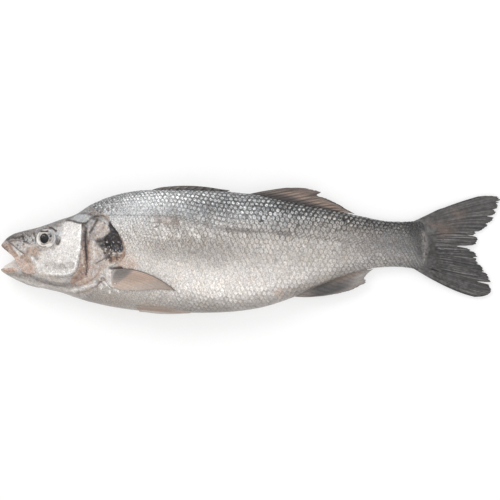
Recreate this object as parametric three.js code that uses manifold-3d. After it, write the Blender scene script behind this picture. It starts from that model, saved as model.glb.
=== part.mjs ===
// Whole sea bass, raw and uncut, lying on its right flank with the left flank up.
//
// Frame, in millimetres: +X runs from the snout to the tail, +Y from the belly to
// the back, +Z up. The origin is under the middle of the fish, on the surface it
// lies on. "Ahead" below is the distance behind the foremost point, the lower lip.

import * as THREE from "three";
import { mergeVertices } from "three/addons/utils/BufferGeometryUtils.js";
import Module from "manifold-3d";

// ---- Driving dimensions ----------------------------------------------------

const TOTAL_LENGTH = 450;          // lower lip to the tips of the tail fin
const LIP_X = -TOTAL_LENGTH / 2;
const GAP = 0.35;                  // between a fin or an eye and the body
const FLOOR_GAP = 0.4;             // between the hidden fins and the table

// Profile lines: [distance from the lip, height Y], each through the few points
// where the line bends.
const BACK_LINE = [
  [0, 1.5], [1, 5.0], [3, 7.4], [6, 10.8], [12, 14.5], [20, 16.9], [36, 20.9], [54, 27.2],
  [68, 32.0], [81, 40.2], [99, 47.7], [117, 52.0], [137, 54.0], [171, 54.2], [198, 53.0],
  [221, 50.6], [237, 48.8], [272, 41.2], [303, 35.0], [329, 29.5], [347, 26.0], [371, 25.6],
];
const BELLY_LINE = [
  [0, -17.2], [1.2, -19.0], [4, -21.2], [9, -24.2], [18, -28.6], [27, -32.2], [54, -38.5],
  [81, -46.6], [108, -52.2], [135, -55.3], [171, -56.4], [207, -55.6], [234, -52.0],
  [252, -46.9], [270, -40.1], [281, -34.8], [299, -27.5], [318, -20.9], [336, -16.5],
  [355, -15.1], [371, -16.4],
];
// Half the thickness of the fish, and the height Z of its middle plane: the flank
// below is pressed flat on the table, the head is held up, and the tail droops.
const HALF_WIDTH = [
  [0, 3.0], [1.2, 5.0], [4, 8.0], [9, 10.6], [18, 13.2], [36, 16.8], [54, 20.0], [72, 22.8],
  [90, 25.2], [112, 27.8], [135, 29.0], [162, 29.0], [198, 27.4], [234, 24.4], [270, 19.4],
  [306, 13.6], [342, 9.2], [364, 6.8], [376, 5.0], [384, 3.2],
];
const MIDDLE_PLANE = [
  [0, 21.0], [45, 23.6], [90, 26.2], [135, 27.5], [180, 27.0], [216, 25.0], [270, 18.6],
  [306, 13.0], [342, 9.0], [384, 6.6],
];
// Height Y at which a section is widest.
const WIDEST_LINE = [[0, -10], [20, -7], [60, -3], [120, -2], [200, -2], [280, 3], [345, 5.5], [384, 5.6]];
const SECTION_POWER = 2.15;        // 2 would be an ellipse, more is boxier

// The scaled body ends in a half ellipse that the tail fin is rooted on.
const BODY_END = { at: 371, length: 12.6, centre: 4.7, half: 21.0 };

// Mouth, an open wedge between the jaws: [distance from the lip, height Y].
const MOUTH = [[-4, 5.5], [4.5, 0.6], [9.5, -3.4], [14.5, -6.4], [10, -9.8], [4.5, -12.2], [-4, -16.4]];

// Plates of the head that stand proud of the flesh, each by its own lift.
const PLATES = [
  { lift: 1.7, outline: [                       // gill cover
    [79, 29], [84, 34], [92, 31], [100, 24], [107, 15], [112.5, 6], [114, -2], [111, -9],
    [101.5, -14.2], [95, -20], [89, -28], [80, -36.5], [69, -40], [73, -34], [79, -26], [80.5, -12],
    [80, 8] ] },
  { lift: 1.5, outline: [                       // cheek and its bony rear edge
    [57, 24.5], [66, 27], [74.6, 24.5], [74.2, 10], [72.4, -2], [70.4, -10], [68.6, -17],
    [63.5, -21.4], [52, -22.4], [41, -21.4], [37, -16], [44, -6], [53, 4], [55, 14] ] },
  { lift: 1.1, outline: [                       // upper jaw bone
    [3, 5.5], [9, 1.0], [15, -5.5], [24, -8.5], [31, -12.5], [34.5, -18], [31, -21.6],
    [24.5, -20.6], [18.5, -14.6], [12.5, -9], [8, -3.4], [2.4, 2] ] },
  { lift: 0.8, outline: [                       // lower jaw
    [1, -13.6], [6, -12.8], [13, -10.4], [19, -16.8], [27, -23], [36, -24.6], [52, -25],
    [50, -29.4], [34, -27.6], [20, -24.2], [8, -20], [2, -18] ] },
];

// Eye: a flattened ball in a socket on each side of the head.
const EYE = { at: 41.6, height: 9.9, radius: 8.8, depth: 4.2, bulge: 2.6, straight: 0.8 };

// Mesh fineness
const BODY_SIDES = 36;
const BODY_STATIONS = 40;
const PLATE_STATIONS = 7;
const OUTLINE_STEPS = 2;           // straight pieces between two points of an outline

// ---- Curves ----------------------------------------------------------------

// A smooth function through points [x, value], by cubic pieces.
function curveThrough(points) {
  const slope = points.map((point, i) => {
    const before = points[Math.max(i - 1, 0)];
    const after = points[Math.min(i + 1, points.length - 1)];
    return (after[1] - before[1]) / (after[0] - before[0]);
  });
  return (x) => {
    let i = 0;
    while (i < points.length - 2 && x > points[i + 1][0]) {
      i += 1;
    }
    const [x0, y0] = points[i];
    const [x1, y1] = points[i + 1];
    const span = x1 - x0;
    const t = THREE.MathUtils.clamp((x - x0) / span, 0, 1);
    const t2 = t * t;
    const t3 = t2 * t;
    return (2 * t3 - 3 * t2 + 1) * y0 + (t3 - 2 * t2 + t) * span * slope[i]
      + (3 * t2 - 2 * t3) * y1 + (t3 - t2) * span * slope[i + 1];
  };
}

const backCurve = curveThrough(BACK_LINE);
const bellyCurve = curveThrough(BELLY_LINE);
const halfWidth = curveThrough(HALF_WIDTH);
const middlePlane = curveThrough(MIDDLE_PLANE);
const widestLine = curveThrough(WIDEST_LINE);

// Rounding of the body's end, 1 ahead of it and 0 at its last point.
function endRounding(s) {
  const past = THREE.MathUtils.clamp((s - BODY_END.at) / BODY_END.length, 0, 1);
  return Math.sqrt(1 - past * past);
}

function backHeight(s) {
  return s < BODY_END.at ? backCurve(s) : BODY_END.centre + BODY_END.half * endRounding(s);
}

function bellyHeight(s) {
  return s < BODY_END.at ? bellyCurve(s) : BODY_END.centre - BODY_END.half * endRounding(s);
}

// ---- Skin of the body ------------------------------------------------------

// The point of the skin at distance s from the lip and at an angle round the
// section: 0 is the middle of the left flank, a quarter turn the back, minus a
// quarter turn the belly. It lies lift outside the smooth section.
function skinPoint(s, angle, lift = 0) {
  const widest = widestLine(s);
  const rise = (Math.sin(angle) >= 0 ? backHeight(s) - widest : widest - bellyHeight(s)) + lift;
  const width = halfWidth(s) + lift;
  const bend = (value) => Math.sign(value) * Math.abs(value) ** (2 / SECTION_POWER);
  return new THREE.Vector3(
    LIP_X + s,
    widest + rise * bend(Math.sin(angle)),
    middlePlane(s) + width * bend(Math.cos(angle)),
  );
}

// The angle round the section at which the left flank has height y.
function angleAt(s, y) {
  const widest = widestLine(s);
  const rise = y >= widest ? backHeight(s) - widest : widest - bellyHeight(s);
  const share = THREE.MathUtils.clamp(Math.abs(y - widest) / rise, 0, 1) ** (SECTION_POWER / 2);
  return Math.sign(y - widest) * Math.asin(share);
}

// A point on the flank at height y; side is 1 on the left flank, -1 on the right.
function flankPoint(s, y, side = 1, lift = 0) {
  const angle = angleAt(s, y);
  return skinPoint(s, side > 0 ? angle : Math.PI - angle, lift);
}

// ---- Closed meshes ---------------------------------------------------------

function geometryFrom(positions, triangles) {
  const geometry = new THREE.BufferGeometry();
  geometry.setAttribute("position", new THREE.Float32BufferAttribute(positions, 3));
  geometry.setIndex(triangles);
  return geometry;
}

// A closed skin over rings of points, each ring a list of Vector3 of one length.
function skinOver(rings) {
  const sides = rings[0].length;
  const positions = rings.flat().flatMap((point) => point.toArray());
  const triangles = [];
  for (let ring = 0; ring + 1 < rings.length; ring += 1) {
    for (let side = 0; side < sides; side += 1) {
      const a = ring * sides + side;
      const b = ring * sides + ((side + 1) % sides);
      triangles.push(a, b, a + sides, b, b + sides, a + sides);
    }
  }
  const caps = [[0, 1], [rings.length - 1, -1]];
  for (const [ring, way] of caps) {
    const middle = new THREE.Vector3();
    rings[ring].forEach((point) => middle.addScaledVector(point, 1 / sides));
    const hub = positions.length / 3;
    positions.push(...middle.toArray());
    for (let side = 0; side < sides; side += 1) {
      const a = ring * sides + side;
      const b = ring * sides + ((side + 1) % sides);
      triangles.push(...(way > 0 ? [hub, b, a] : [hub, a, b]));
    }
  }
  return geometryFrom(positions, triangles);
}

// A closed slab over a grid: middle(u, v) is its middle surface and half(u, v) the
// vector from there to its upper face, for u and v from 0 to 1.
function slab(across, along, middle, half) {
  const positions = [];
  for (const face of [1, -1]) {
    for (let i = 0; i <= across; i += 1) {
      for (let j = 0; j <= along; j += 1) {
        const u = i / across;
        const v = j / along;
        positions.push(...middle(u, v).addScaledVector(half(u, v), face).toArray());
      }
    }
  }
  const row = along + 1;
  const under = (across + 1) * row;
  const triangles = [];
  for (let i = 0; i < across; i += 1) {
    for (let j = 0; j < along; j += 1) {
      const a = i * row + j;
      triangles.push(a, a + row, a + 1, a + 1, a + row, a + row + 1);
      const b = a + under;
      triangles.push(b, b + 1, b + row, b + 1, b + row + 1, b + row);
    }
  }
  const wall = (a, b) => triangles.push(a, b, a + under, b, b + under, a + under);
  for (let i = 0; i < across; i += 1) {
    wall((i + 1) * row, i * row);
    wall(i * row + along, (i + 1) * row + along);
  }
  for (let j = 0; j < along; j += 1) {
    wall(j, j + 1);
    wall(across * row + j + 1, across * row + j);
  }
  return geometryFrom(positions, triangles);
}

// Turns the faces of a mirrored mesh outwards again.
function facingOut(geometry) {
  const index = geometry.index.array;
  const position = geometry.attributes.position;
  const corner = [new THREE.Vector3(), new THREE.Vector3(), new THREE.Vector3()];
  let volume = 0;
  for (let i = 0; i < index.length; i += 3) {
    corner.forEach((point, k) => point.fromBufferAttribute(position, index[i + k]));
    volume += corner[0].dot(corner[1].cross(corner[2]));
  }
  if (volume < 0) {
    for (let i = 0; i < index.length; i += 3) {
      [index[i], index[i + 1]] = [index[i + 1], index[i]];
    }
  }
  return geometry;
}

// ---- Joining and cutting ---------------------------------------------------

const wasm = await Module();
wasm.setup();

function solidFrom(geometry) {
  geometry.deleteAttribute("normal");
  geometry.deleteAttribute("uv");
  const merged = facingOut(mergeVertices(geometry, 1e-4));
  return new wasm.Manifold(new wasm.Mesh({
    numProp: 3,
    vertProperties: new Float32Array(merged.attributes.position.array),
    triVerts: new Uint32Array(merged.index.array),
  }));
}

function geometryOf(solid) {
  const mesh = solid.getMesh();
  return geometryFrom(Array.from(mesh.vertProperties), Array.from(mesh.triVerts));
}

// A block with a smooth side outline [distance from the lip, height], standing
// right through the fish.
function through(outline, smooth) {
  const points = outline.map(([s, y]) => new THREE.Vector2(LIP_X + s, y));
  const shape = new THREE.Shape();
  if (smooth) {
    shape.moveTo(points[0].x, points[0].y);
    shape.splineThru([...points.slice(1), points[0]]);
  } else {
    shape.setFromPoints(points);
  }
  const block = new THREE.ExtrudeGeometry(shape, { depth: 80, bevelEnabled: false, curveSegments: OUTLINE_STEPS });
  block.translate(0, 0, -10);
  return solidFrom(block);
}

// ---- Body ------------------------------------------------------------------

// Stations crowd together at the blunt snout and at the rounded end.
function stations(first, last, count) {
  const list = [];
  for (let i = 0; i <= count; i += 1) {
    const t = i / count;
    const eased = t - (0.82 / (2 * Math.PI)) * Math.sin(2 * Math.PI * t);
    list.push(first + (last - first) * eased);
  }
  return list;
}

function bodySkin(first, last, count, lift) {
  const rings = stations(first, last, count).map((s) => {
    const ring = [];
    for (let side = 0; side < BODY_SIDES; side += 1) {
      const point = skinPoint(s, (2 * Math.PI * side) / BODY_SIDES, lift);
      point.z = Math.max(point.z, 0);
      ring.push(point);
    }
    return ring;
  });
  return solidFrom(skinOver(rings));
}

function eyePlace(side) {
  const skin = flankPoint(EYE.at, EYE.height, side);
  const ahead = flankPoint(EYE.at - 6, EYE.height, side);
  const above = flankPoint(EYE.at, EYE.height + 6, side);
  const normal = ahead.sub(skin).cross(above.sub(skin)).normalize();
  if (normal.z * side < 0) {
    normal.negate();
  }
  // The socket is cut straighter than the skin around it slopes.
  normal.z += side * EYE.straight;
  return { skin, normal: normal.normalize() };
}

// A lens-shaped eyeball: the front bulges with the clear cornea, the back is the
// bottom of the socket.
function eyeball(side, grow) {
  const profile = [];
  const steps = 8;
  for (let i = 0; i <= steps; i += 1) {
    const turn = Math.PI * (i / steps - 0.5);
    const reach = turn < 0 ? EYE.depth : EYE.bulge;
    profile.push(new THREE.Vector2((EYE.radius + grow) * Math.cos(turn), (reach + grow) * Math.sin(turn)));
  }
  profile[0].x = 0;
  profile[steps].x = 0;
  const ball = new THREE.LatheGeometry(profile, 18);
  const { skin, normal } = eyePlace(side);
  const turn = new THREE.Quaternion().setFromUnitVectors(new THREE.Vector3(0, 1, 0), normal);
  ball.applyQuaternion(turn);
  ball.translate(skin.x, skin.y, skin.z);
  return solidFrom(ball);
}

function bodySolid(pockets) {
  const end = BODY_END.at + BODY_END.length * 0.995;
  let body = bodySkin(0.02, end, BODY_STATIONS, 0);
  for (const plate of PLATES) {
    const reach = plate.outline.map(([s]) => s);
    const first = Math.max(Math.min(...reach) - 3, 0.02);
    const raised = bodySkin(first, Math.max(...reach) + 3, PLATE_STATIONS, plate.lift);
    body = body.add(raised.intersect(through(plate.outline, true)));
  }
  body = body.subtract(through(MOUTH, false));
  for (const pocket of pockets) {
    body = body.subtract(pocket);
  }
  return body;
}

// ---- Fins ------------------------------------------------------------------

// Each fin is a fan of rays. A ray runs from its root over a bend to its tip, all
// three given for some rays as [share of the way across the fin, x, y].
function raySpread(rows) {
  const curves = [1, 2].map((axis) => curveThrough(rows.map((row) => [row[0], row[axis]])));
  return (u) => new THREE.Vector2(curves[0](u), curves[1](u));
}

function rayPoint(fin, u, v) {
  const root = fin.root(u);
  const bend = fin.bend(u);
  const tip = fin.tip(u);
  return new THREE.Vector2(
    (1 - v) ** 2 * root.x + 2 * v * (1 - v) * bend.x + v * v * tip.x,
    (1 - v) ** 2 * root.y + 2 * v * (1 - v) * bend.y + v * v * tip.y,
  );
}

// Half the thickness: thick on a ray, thin on the web between two, and thinner
// towards the margin.
function webbing(fin, u, v) {
  const onRay = Math.cos(Math.PI * fin.rays * u) ** 2;
  return (fin.web + (fin.ray - fin.web) * onRay) * (1 - fin.taper * v);
}

// Upright fins stand in the middle plane, which the fish lies beside.
function uprightFin(fin, grow = 0) {
  const middle = (u, v) => {
    const point = rayPoint(fin, u, v);
    return new THREE.Vector3(LIP_X + point.x, point.y, fin.level(point.x, u, v));
  };
  const half = (u, v) => new THREE.Vector3(0, 0, webbing(fin, u, v) + grow);
  return solidFrom(slab(fin.rays * 2, fin.steps, middle, half));
}

const CAUDAL = {
  rays: 17, steps: 4, web: 0.55, ray: 1.25, taper: 0.45,
  root: (u) => {
    const turn = THREE.MathUtils.degToRad(84 - 168 * u);
    const away = GAP + 0.35;
    return new THREE.Vector2(
      BODY_END.at + (BODY_END.length + away) * Math.cos(turn),
      BODY_END.centre + (BODY_END.half + away) * Math.sin(turn),
    );
  },
  bend: raySpread([
    [0, 397, 39], [0.15, 416, 37], [0.3, 414, 24], [0.45, 404, 9], [0.55, 404, 2],
    [0.7, 410, -9], [0.85, 411, -25], [1, 398, -28.8],
  ]),
  tip: raySpread([
    [0, 432, 48.4], [0.06, 449, 47.8], [0.12, 448.6, 42], [0.18, 446, 34.6], [0.24, 442.4, 27.4],
    [0.3, 437, 19], [0.36, 427, 12.8], [0.41, 431.6, 10.6], [0.46, 428, 4.4], [0.5, 412.8, 3.6],
    [0.54, 423, 1.8], [0.6, 430.6, -3.2], [0.66, 430, -8], [0.72, 435.4, -16], [0.78, 439.6, -23.4],
    [0.84, 442.2, -29], [0.9, 443.8, -36.2], [0.95, 437, -41.2], [1, 424, -43],
  ]),
  level: (s, u) => 6.6 - 3.4 * THREE.MathUtils.smoothstep(s, 378, 440) + 0.7 * Math.sin(5 * Math.PI * u),
};

const DORSAL_SECOND = {
  rays: 12, steps: 4, web: 0.6, ray: 1.15, taper: 0.35,
  root: (u) => new THREE.Vector2(219 + 82 * u, backHeight(219 + 82 * u) + GAP),
  bend: raySpread([[0, 238, 55.6], [0.3, 266, 51], [0.5, 279, 46.5], [0.75, 296, 40.6], [1, 309, 34.6]]),
  tip: raySpread([
    [0, 258, 56.2], [0.12, 272, 56.2], [0.25, 283, 54.4], [0.36, 289.4, 52.2], [0.44, 285.6, 49.6],
    [0.55, 294, 46.6], [0.75, 305, 41.4], [0.9, 314, 36], [1, 320, 32.6],
  ]),
  level: (s) => middlePlane(s),
};

const DORSAL_FIRST = {
  rays: 9, steps: 3, web: 0.9, ray: 1.7, taper: 0.3,
  root: (u) => new THREE.Vector2(133 + 68 * u, backHeight(133 + 68 * u) + GAP),
  bend: (u) => new THREE.Vector2(139 + 68 * u, backHeight(139 + 68 * u) + 1.6 + 2.0 * Math.sin(Math.PI * u)),
  tip: (u) => new THREE.Vector2(
    147 + 60 * u,
    backHeight(147 + 60 * u) + 1.6 + 2.0 * Math.sin(Math.PI * Math.min(u + 0.12, 1)),
  ),
  level: (s) => middlePlane(s) + 0.6,
};

const ANAL = {
  rays: 11, steps: 4, web: 0.6, ray: 1.15, taper: 0.35,
  root: (u) => new THREE.Vector2(262 + 64 * u, bellyHeight(262 + 64 * u) - GAP),
  bend: raySpread([[0, 273, -43], [0.33, 296, -38.6], [0.6, 311, -32], [0.85, 322, -25.6], [1, 332, -18.6]]),
  tip: raySpread([
    [0, 281, -42.4], [0.12, 293, -41.4], [0.33, 311, -38], [0.5, 321.6, -34.2], [0.65, 330.4, -29.2],
    [0.78, 329.4, -24.4], [0.9, 333, -20], [1, 337, -17],
  ]),
  level: (s) => middlePlane(s),
};

// Paired fins lie against a flank, and the right ones are pressed on the table.
function flankFinGeometry(fin, side, grow = 0) {
  const middle = (u, v) => {
    const spot = fin.spot(u, v);
    const point = skinPoint(spot.s, side > 0 ? spot.angle : Math.PI - spot.angle, spot.lift);
    point.z = Math.max(point.z, FLOOR_GAP + fin.ray);
    return point;
  };
  // Edges of a grown fin also move out sideways, by a little more than its faces.
  const widened = (u, v) => {
    const point = middle(u, v);
    const step = 0.01;
    const acrossWay = middle(u < 0.5 ? u + step : u, v).sub(middle(u < 0.5 ? u : u - step, v)).normalize();
    const alongWay = middle(u, v < 0.5 ? v + step : v).sub(middle(u, v < 0.5 ? v : v - step)).normalize();
    point.addScaledVector(acrossWay, 1.4 * grow * (2 * u - 1));
    return point.addScaledVector(alongWay, 1.4 * grow * (2 * v - 1));
  };
  const half = (u, v) => {
    const spot = fin.spot(u, v);
    const way = new THREE.Vector3(0, Math.sin(spot.angle), side * Math.cos(spot.angle));
    return way.multiplyScalar(webbing(fin, u, v) + grow);
  };
  return slab(fin.rays * 2, fin.steps, grow > 0 ? widened : middle, half);
}

function flankFin(fin, side) {
  return solidFrom(flankFinGeometry(fin, side));
}

// The dent that the right fin presses into the flank, open to the table.
function pressedDent(fin) {
  const smooth = { ...fin, web: fin.ray, taper: 0 };
  const dent = solidFrom(flankFinGeometry(smooth, -1, GAP));
  const below = flankFinGeometry(smooth, -1, GAP);
  below.translate(0, 0, -FLOOR_GAP - GAP);
  return dent.add(solidFrom(below));
}

const PECTORAL = {
  rays: 10, steps: 4, web: 0.45, ray: 0.8, taper: 0.4,
  root: raySpread([[0, 105, -16], [0.5, 102.4, -22.8], [1, 103, -30.6]]),
  bend: raySpread([[0, 132, -13.5], [0.5, 124, -23.5], [1, 106, -33]]),
  tip: raySpread([[0, 160, -36], [0.25, 157, -35.4], [0.5, 144, -34.4], [0.75, 127, -35.2], [1, 111, -34.6]]),
  spot(u, v) {
    const point = rayPoint(this, u, v);
    const lift = 1.4 + 0.6 * v;
    return { s: point.x, angle: angleAt(point.x, point.y), lift };
  },
};

const PELVIC = {
  rays: 6, steps: 4, web: 0.5, ray: 0.85, taper: 0.4,
  spot(u, v) {
    const spread = 2 + 5 * Math.sin(Math.PI * Math.min(v + 0.12, 1));
    const angle = THREE.MathUtils.degToRad(-70 - spread * (u - 0.5) * 2.4 - 6 * v);
    return { s: 120 + 4 * u + (50 - 5 * u) * v, angle, lift: 1.6 + 0.5 * Math.sin(Math.PI * v) };
  },
};

// ---- The fish --------------------------------------------------------------

const SKIN = { color: 0xb4b0ac, roughness: 0.32, metalness: 0.15 };
const DARK_FIN = { color: 0x5f5a58, roughness: 0.45, metalness: 0 };
const PALE_FIN = { color: 0xa8907f, roughness: 0.45, metalness: 0 };
const EYE_LOOK = { color: 0x4a4642, roughness: 0.08, metalness: 0 };

const group = new THREE.Group();

function addPiece(name, solid, look) {
  const mesh = new THREE.Mesh(geometryOf(solid), new THREE.MeshStandardMaterial(look));
  mesh.name = name;
  group.add(mesh);
}

const pockets = [];
for (const side of [1, -1]) {
  pockets.push(eyeball(side, GAP));
}
pockets.push(pressedDent(PECTORAL));

addPiece("body", bodySolid(pockets), SKIN);
addPiece("eye_left", eyeball(1, 0), EYE_LOOK);
addPiece("eye_right", eyeball(-1, 0), EYE_LOOK);
addPiece("dorsal_fin_first", uprightFin(DORSAL_FIRST), DARK_FIN);
addPiece("dorsal_fin_second", uprightFin(DORSAL_SECOND), DARK_FIN);
addPiece("anal_fin", uprightFin(ANAL), DARK_FIN);
addPiece("caudal_fin", uprightFin(CAUDAL), DARK_FIN);
addPiece("pectoral_fin_left", flankFin(PECTORAL, 1), PALE_FIN);
addPiece("pectoral_fin_right", flankFin(PECTORAL, -1), PALE_FIN);
addPiece("pelvic_fin_left", flankFin(PELVIC, 1), PALE_FIN);
addPiece("pelvic_fin_right", flankFin(PELVIC, -1), PALE_FIN);

export default group;
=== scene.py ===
"""Whole raw sea bass lying on its right flank: the looks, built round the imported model.

Lengths are in millimetres until a mesh is made. s is the distance behind the lower
lip, y the height towards the back and z the height over the table, as in the model.
"""

import bpy
import numpy as np
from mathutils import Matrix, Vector


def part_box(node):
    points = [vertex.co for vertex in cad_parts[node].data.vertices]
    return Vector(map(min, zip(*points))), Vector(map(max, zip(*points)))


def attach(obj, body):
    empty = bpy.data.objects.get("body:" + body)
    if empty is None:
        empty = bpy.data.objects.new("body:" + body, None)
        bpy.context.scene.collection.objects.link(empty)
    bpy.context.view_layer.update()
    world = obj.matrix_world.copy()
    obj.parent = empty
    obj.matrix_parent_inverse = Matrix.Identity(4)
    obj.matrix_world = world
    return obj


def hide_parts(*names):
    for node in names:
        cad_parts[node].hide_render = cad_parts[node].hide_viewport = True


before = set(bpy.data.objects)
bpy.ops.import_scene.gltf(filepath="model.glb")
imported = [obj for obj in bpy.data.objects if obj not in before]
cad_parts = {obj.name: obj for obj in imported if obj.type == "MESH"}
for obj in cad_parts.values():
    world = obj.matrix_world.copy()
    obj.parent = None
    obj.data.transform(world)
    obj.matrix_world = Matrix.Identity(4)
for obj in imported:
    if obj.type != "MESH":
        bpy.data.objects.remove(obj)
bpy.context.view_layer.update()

MM = 0.001               # a millimetre in metres, the unit of meshes
LIP_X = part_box("body")[0].x / MM
GLOSS_VEIL = 0.035       # what the wet gloss adds to a colour under the studio's light
LIGHT_GAIN = 0.94        # how much darker paint is mixed than it is to look there
DARKEST = 0.004          # no painted colour is darker than this
SCALE_SEED = 7
FIN_SEED = 21
LEFT, RIGHT = 1, -1      # the flank on top, and the one that the fish lies on


# ---- Curves, noise and colours ----------------------------------------------

def curve_through(points):
    """A smooth function through points (x, value), by cubic pieces."""
    xs, values = np.array(points, float).T
    slopes = np.gradient(values, xs, edge_order=1)
    slopes[1:-1] = (values[2:] - values[:-2]) / (xs[2:] - xs[:-2])

    def value_at(x):
        x = np.asarray(x, float)
        i = np.clip(np.searchsorted(xs, x, side="right") - 1, 0, len(xs) - 2)
        span = xs[i + 1] - xs[i]
        t = np.clip((x - xs[i]) / span, 0, 1)
        return ((2 * t**3 - 3 * t**2 + 1) * values[i] + (t**3 - 2 * t**2 + t) * span * slopes[i]
                + (3 * t**2 - 2 * t**3) * values[i + 1] + (t**3 - t**2) * span * slopes[i + 1])

    return value_at


def step(low, high, value):
    """0 below low, 1 above high, smooth between."""
    t = np.clip((np.asarray(value, float) - low) / (high - low), 0, 1)
    return t * t * (3 - 2 * t)


def noise(points, size, seed=0):
    """Smooth random values from -1 to 1 with bumps about size wide."""
    place = np.asarray(points, float) / size + 31.7 * (seed + 1)
    cell = np.floor(place).astype(np.int64)
    part = place - cell
    part = part * part * (3 - 2 * part)
    total = 0
    for corner in range(8):
        # A hash of the cell's corner and the seed is its random value.
        offset = np.array([corner & 1, corner >> 1 & 1, corner >> 2 & 1])
        key = (cell + offset) @ np.array([73856093, 19349663, 83492791]) + seed * 961748927
        key = (key ^ (key >> 13)) & 0x7FFFFFFF
        key = (key * ((key * key * 15731 + 789221) & 0x7FFFFFFF) + 1376312589) & 0x7FFFFFFF
        weight = np.prod(np.where(offset == 1, part, 1 - part), axis=-1)
        total = total + weight * (1 - key / 0x3FFFFFFF)
    return total


def mottle(points, size, seed=0):
    """Noise at three sizes, coarse to fine."""
    return (noise(points, size, seed) + 0.6 * noise(points, size / 2.1, seed + 5)
            + 0.35 * noise(points, size / 4.3, seed + 9)) / 1.5


def tone(looks):
    """Colours as they look, 0 to 255 a channel, as the linear values that Blender mixes."""
    share = np.clip(looks, 0, 255) / 255
    return np.where(share <= 0.04045, share / 12.92, ((share + 0.055) / 1.055) ** 2.4)


def linear(looks):
    """The same for painted colours, less what the gloss over them adds."""
    return np.clip((tone(looks) - GLOSS_VEIL) * LIGHT_GAIN, DARKEST, 1)


def blend_looks(looks, colour, share):
    """Colours moved towards one colour, by a share for each."""
    return looks + (np.array(colour, float) - looks) * np.asarray(share)[..., None]


# ---- The body's form ----------------------------------------------------------
# As in the model, but behind TAIL_ROOT the skin runs on over the root of the tail
# fin, where the model's body ends in a rounded edge.

BACK_LINE = [
    (0, 1.5), (1, 5.0), (3, 7.4), (6, 10.8), (12, 14.5), (20, 16.9), (36, 20.9), (54, 27.2),
    (68, 32.0), (81, 40.2), (99, 47.7), (117, 52.0), (137, 54.0), (171, 54.2), (198, 53.0),
    (221, 50.6), (237, 48.8), (272, 41.2), (303, 35.0), (329, 29.5), (347, 26.0), (371, 25.6),
    (378, 27.9), (384, 30.9), (390, 34.0), (396, 36.8), (402, 38.6)]
BELLY_LINE = [
    (0, -17.2), (1.2, -19.0), (4, -21.2), (9, -24.2), (18, -28.6), (27, -32.2), (54, -38.5),
    (81, -46.6), (108, -52.2), (135, -55.3), (171, -56.4), (207, -55.6), (234, -52.0),
    (252, -46.9), (270, -40.1), (281, -34.8), (299, -27.5), (318, -20.9), (336, -16.5),
    (355, -15.1), (371, -16.4), (378, -18.6), (384, -21.4), (390, -24.4), (396, -27.0), (402, -28.6)]
HALF_WIDTH = [
    (0, 3.0), (1.2, 5.0), (4, 8.0), (9, 10.6), (18, 13.2), (36, 16.8), (54, 20.0), (72, 22.8),
    (90, 25.2), (112, 27.8), (135, 29.0), (162, 29.0), (198, 27.4), (234, 24.4), (270, 19.4),
    (306, 13.6), (342, 9.2), (364, 6.8), (374, 5.3), (379, 4.4), (382.5, 3.4),
    (385, 2.0), (388, 1.0), (394, 0.5), (402, 0.3)]
MIDDLE_PLANE = [
    (0, 21.0), (45, 23.6), (90, 26.2), (135, 27.5), (180, 27.0), (216, 25.0), (270, 18.6),
    (306, 13.0), (342, 9.0), (384, 6.6), (402, 5.4)]
WIDEST_LINE = [(0, -10), (20, -7), (60, -3), (120, -2), (200, -2), (280, 3), (345, 5.5), (384, 5.6)]
SECTION_POWER = 2.15     # 2 would be an ellipse, more is boxier
TAIL_ROOT = 371
BODY_LAST = 401          # the last station, inside the tail fin

back_height = curve_through(BACK_LINE)
belly_height = curve_through(BELLY_LINE)
half_width = curve_through(HALF_WIDTH)
middle_plane = curve_through(MIDDLE_PLANE)
widest_line = curve_through(WIDEST_LINE)


def skin_point(s, angle, lift=0.0):
    """Points of the skin: angle 0 is mid left flank, a quarter turn the back."""
    s, angle, lift = np.broadcast_arrays(np.asarray(s, float), angle, lift)
    sine, cosine = np.sin(angle), np.cos(angle)
    widest = widest_line(s)
    rise = np.where(sine >= 0, back_height(s) - widest, widest - belly_height(s)) + lift
    bent = [np.sign(value) * np.abs(value) ** (2 / SECTION_POWER) for value in (sine, cosine)]
    return np.stack([
        LIP_X + s, widest + rise * bent[0], middle_plane(s) + (half_width(s) + lift) * bent[1]], axis=-1)


def flank_share(s, y):
    """How far up the flank a point is: 0 on the belly line, 1 on the back."""
    belly, back = belly_height(s), back_height(s)
    return np.clip((y - belly) / (back - belly), 0, 1)


def angle_at(s, y):
    """The angle round the section at which the left flank has height y."""
    widest = widest_line(s)
    rise = np.where(y >= widest, back_height(s) - widest, widest - belly_height(s))
    share = np.clip(np.abs(y - widest) / rise, 0, 1) ** (SECTION_POWER / 2)
    return np.sign(y - widest) * np.arcsin(share)


# Distance round the flank from the belly line, worked out once against angle and s.
FIRST_S = 0.02
TABLE_S = np.linspace(FIRST_S, BODY_LAST, 390)
TABLE_ANGLE = np.linspace(-np.pi / 2, np.pi / 2, 241)
TABLE_SHARE = np.linspace(0, 1, len(TABLE_ANGLE))


def flank_tables():
    """The flank's length at each s, the angle at each share of it, and the share at each angle."""
    points = skin_point(TABLE_S[:, None], TABLE_ANGLE[None, :])
    steps = np.linalg.norm(np.diff(points[..., 1:], axis=1), axis=-1)
    along = np.concatenate([np.zeros((len(TABLE_S), 1)), np.cumsum(steps, axis=1)], axis=1)
    angle_of_share = [np.interp(TABLE_SHARE, row / row[-1], TABLE_ANGLE) for row in along]
    return along[:, -1], np.array(angle_of_share), along / along[:, -1:]


GIRTH, ANGLE_OF_SHARE, SHARE_OF_ANGLE = flank_tables()


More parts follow.
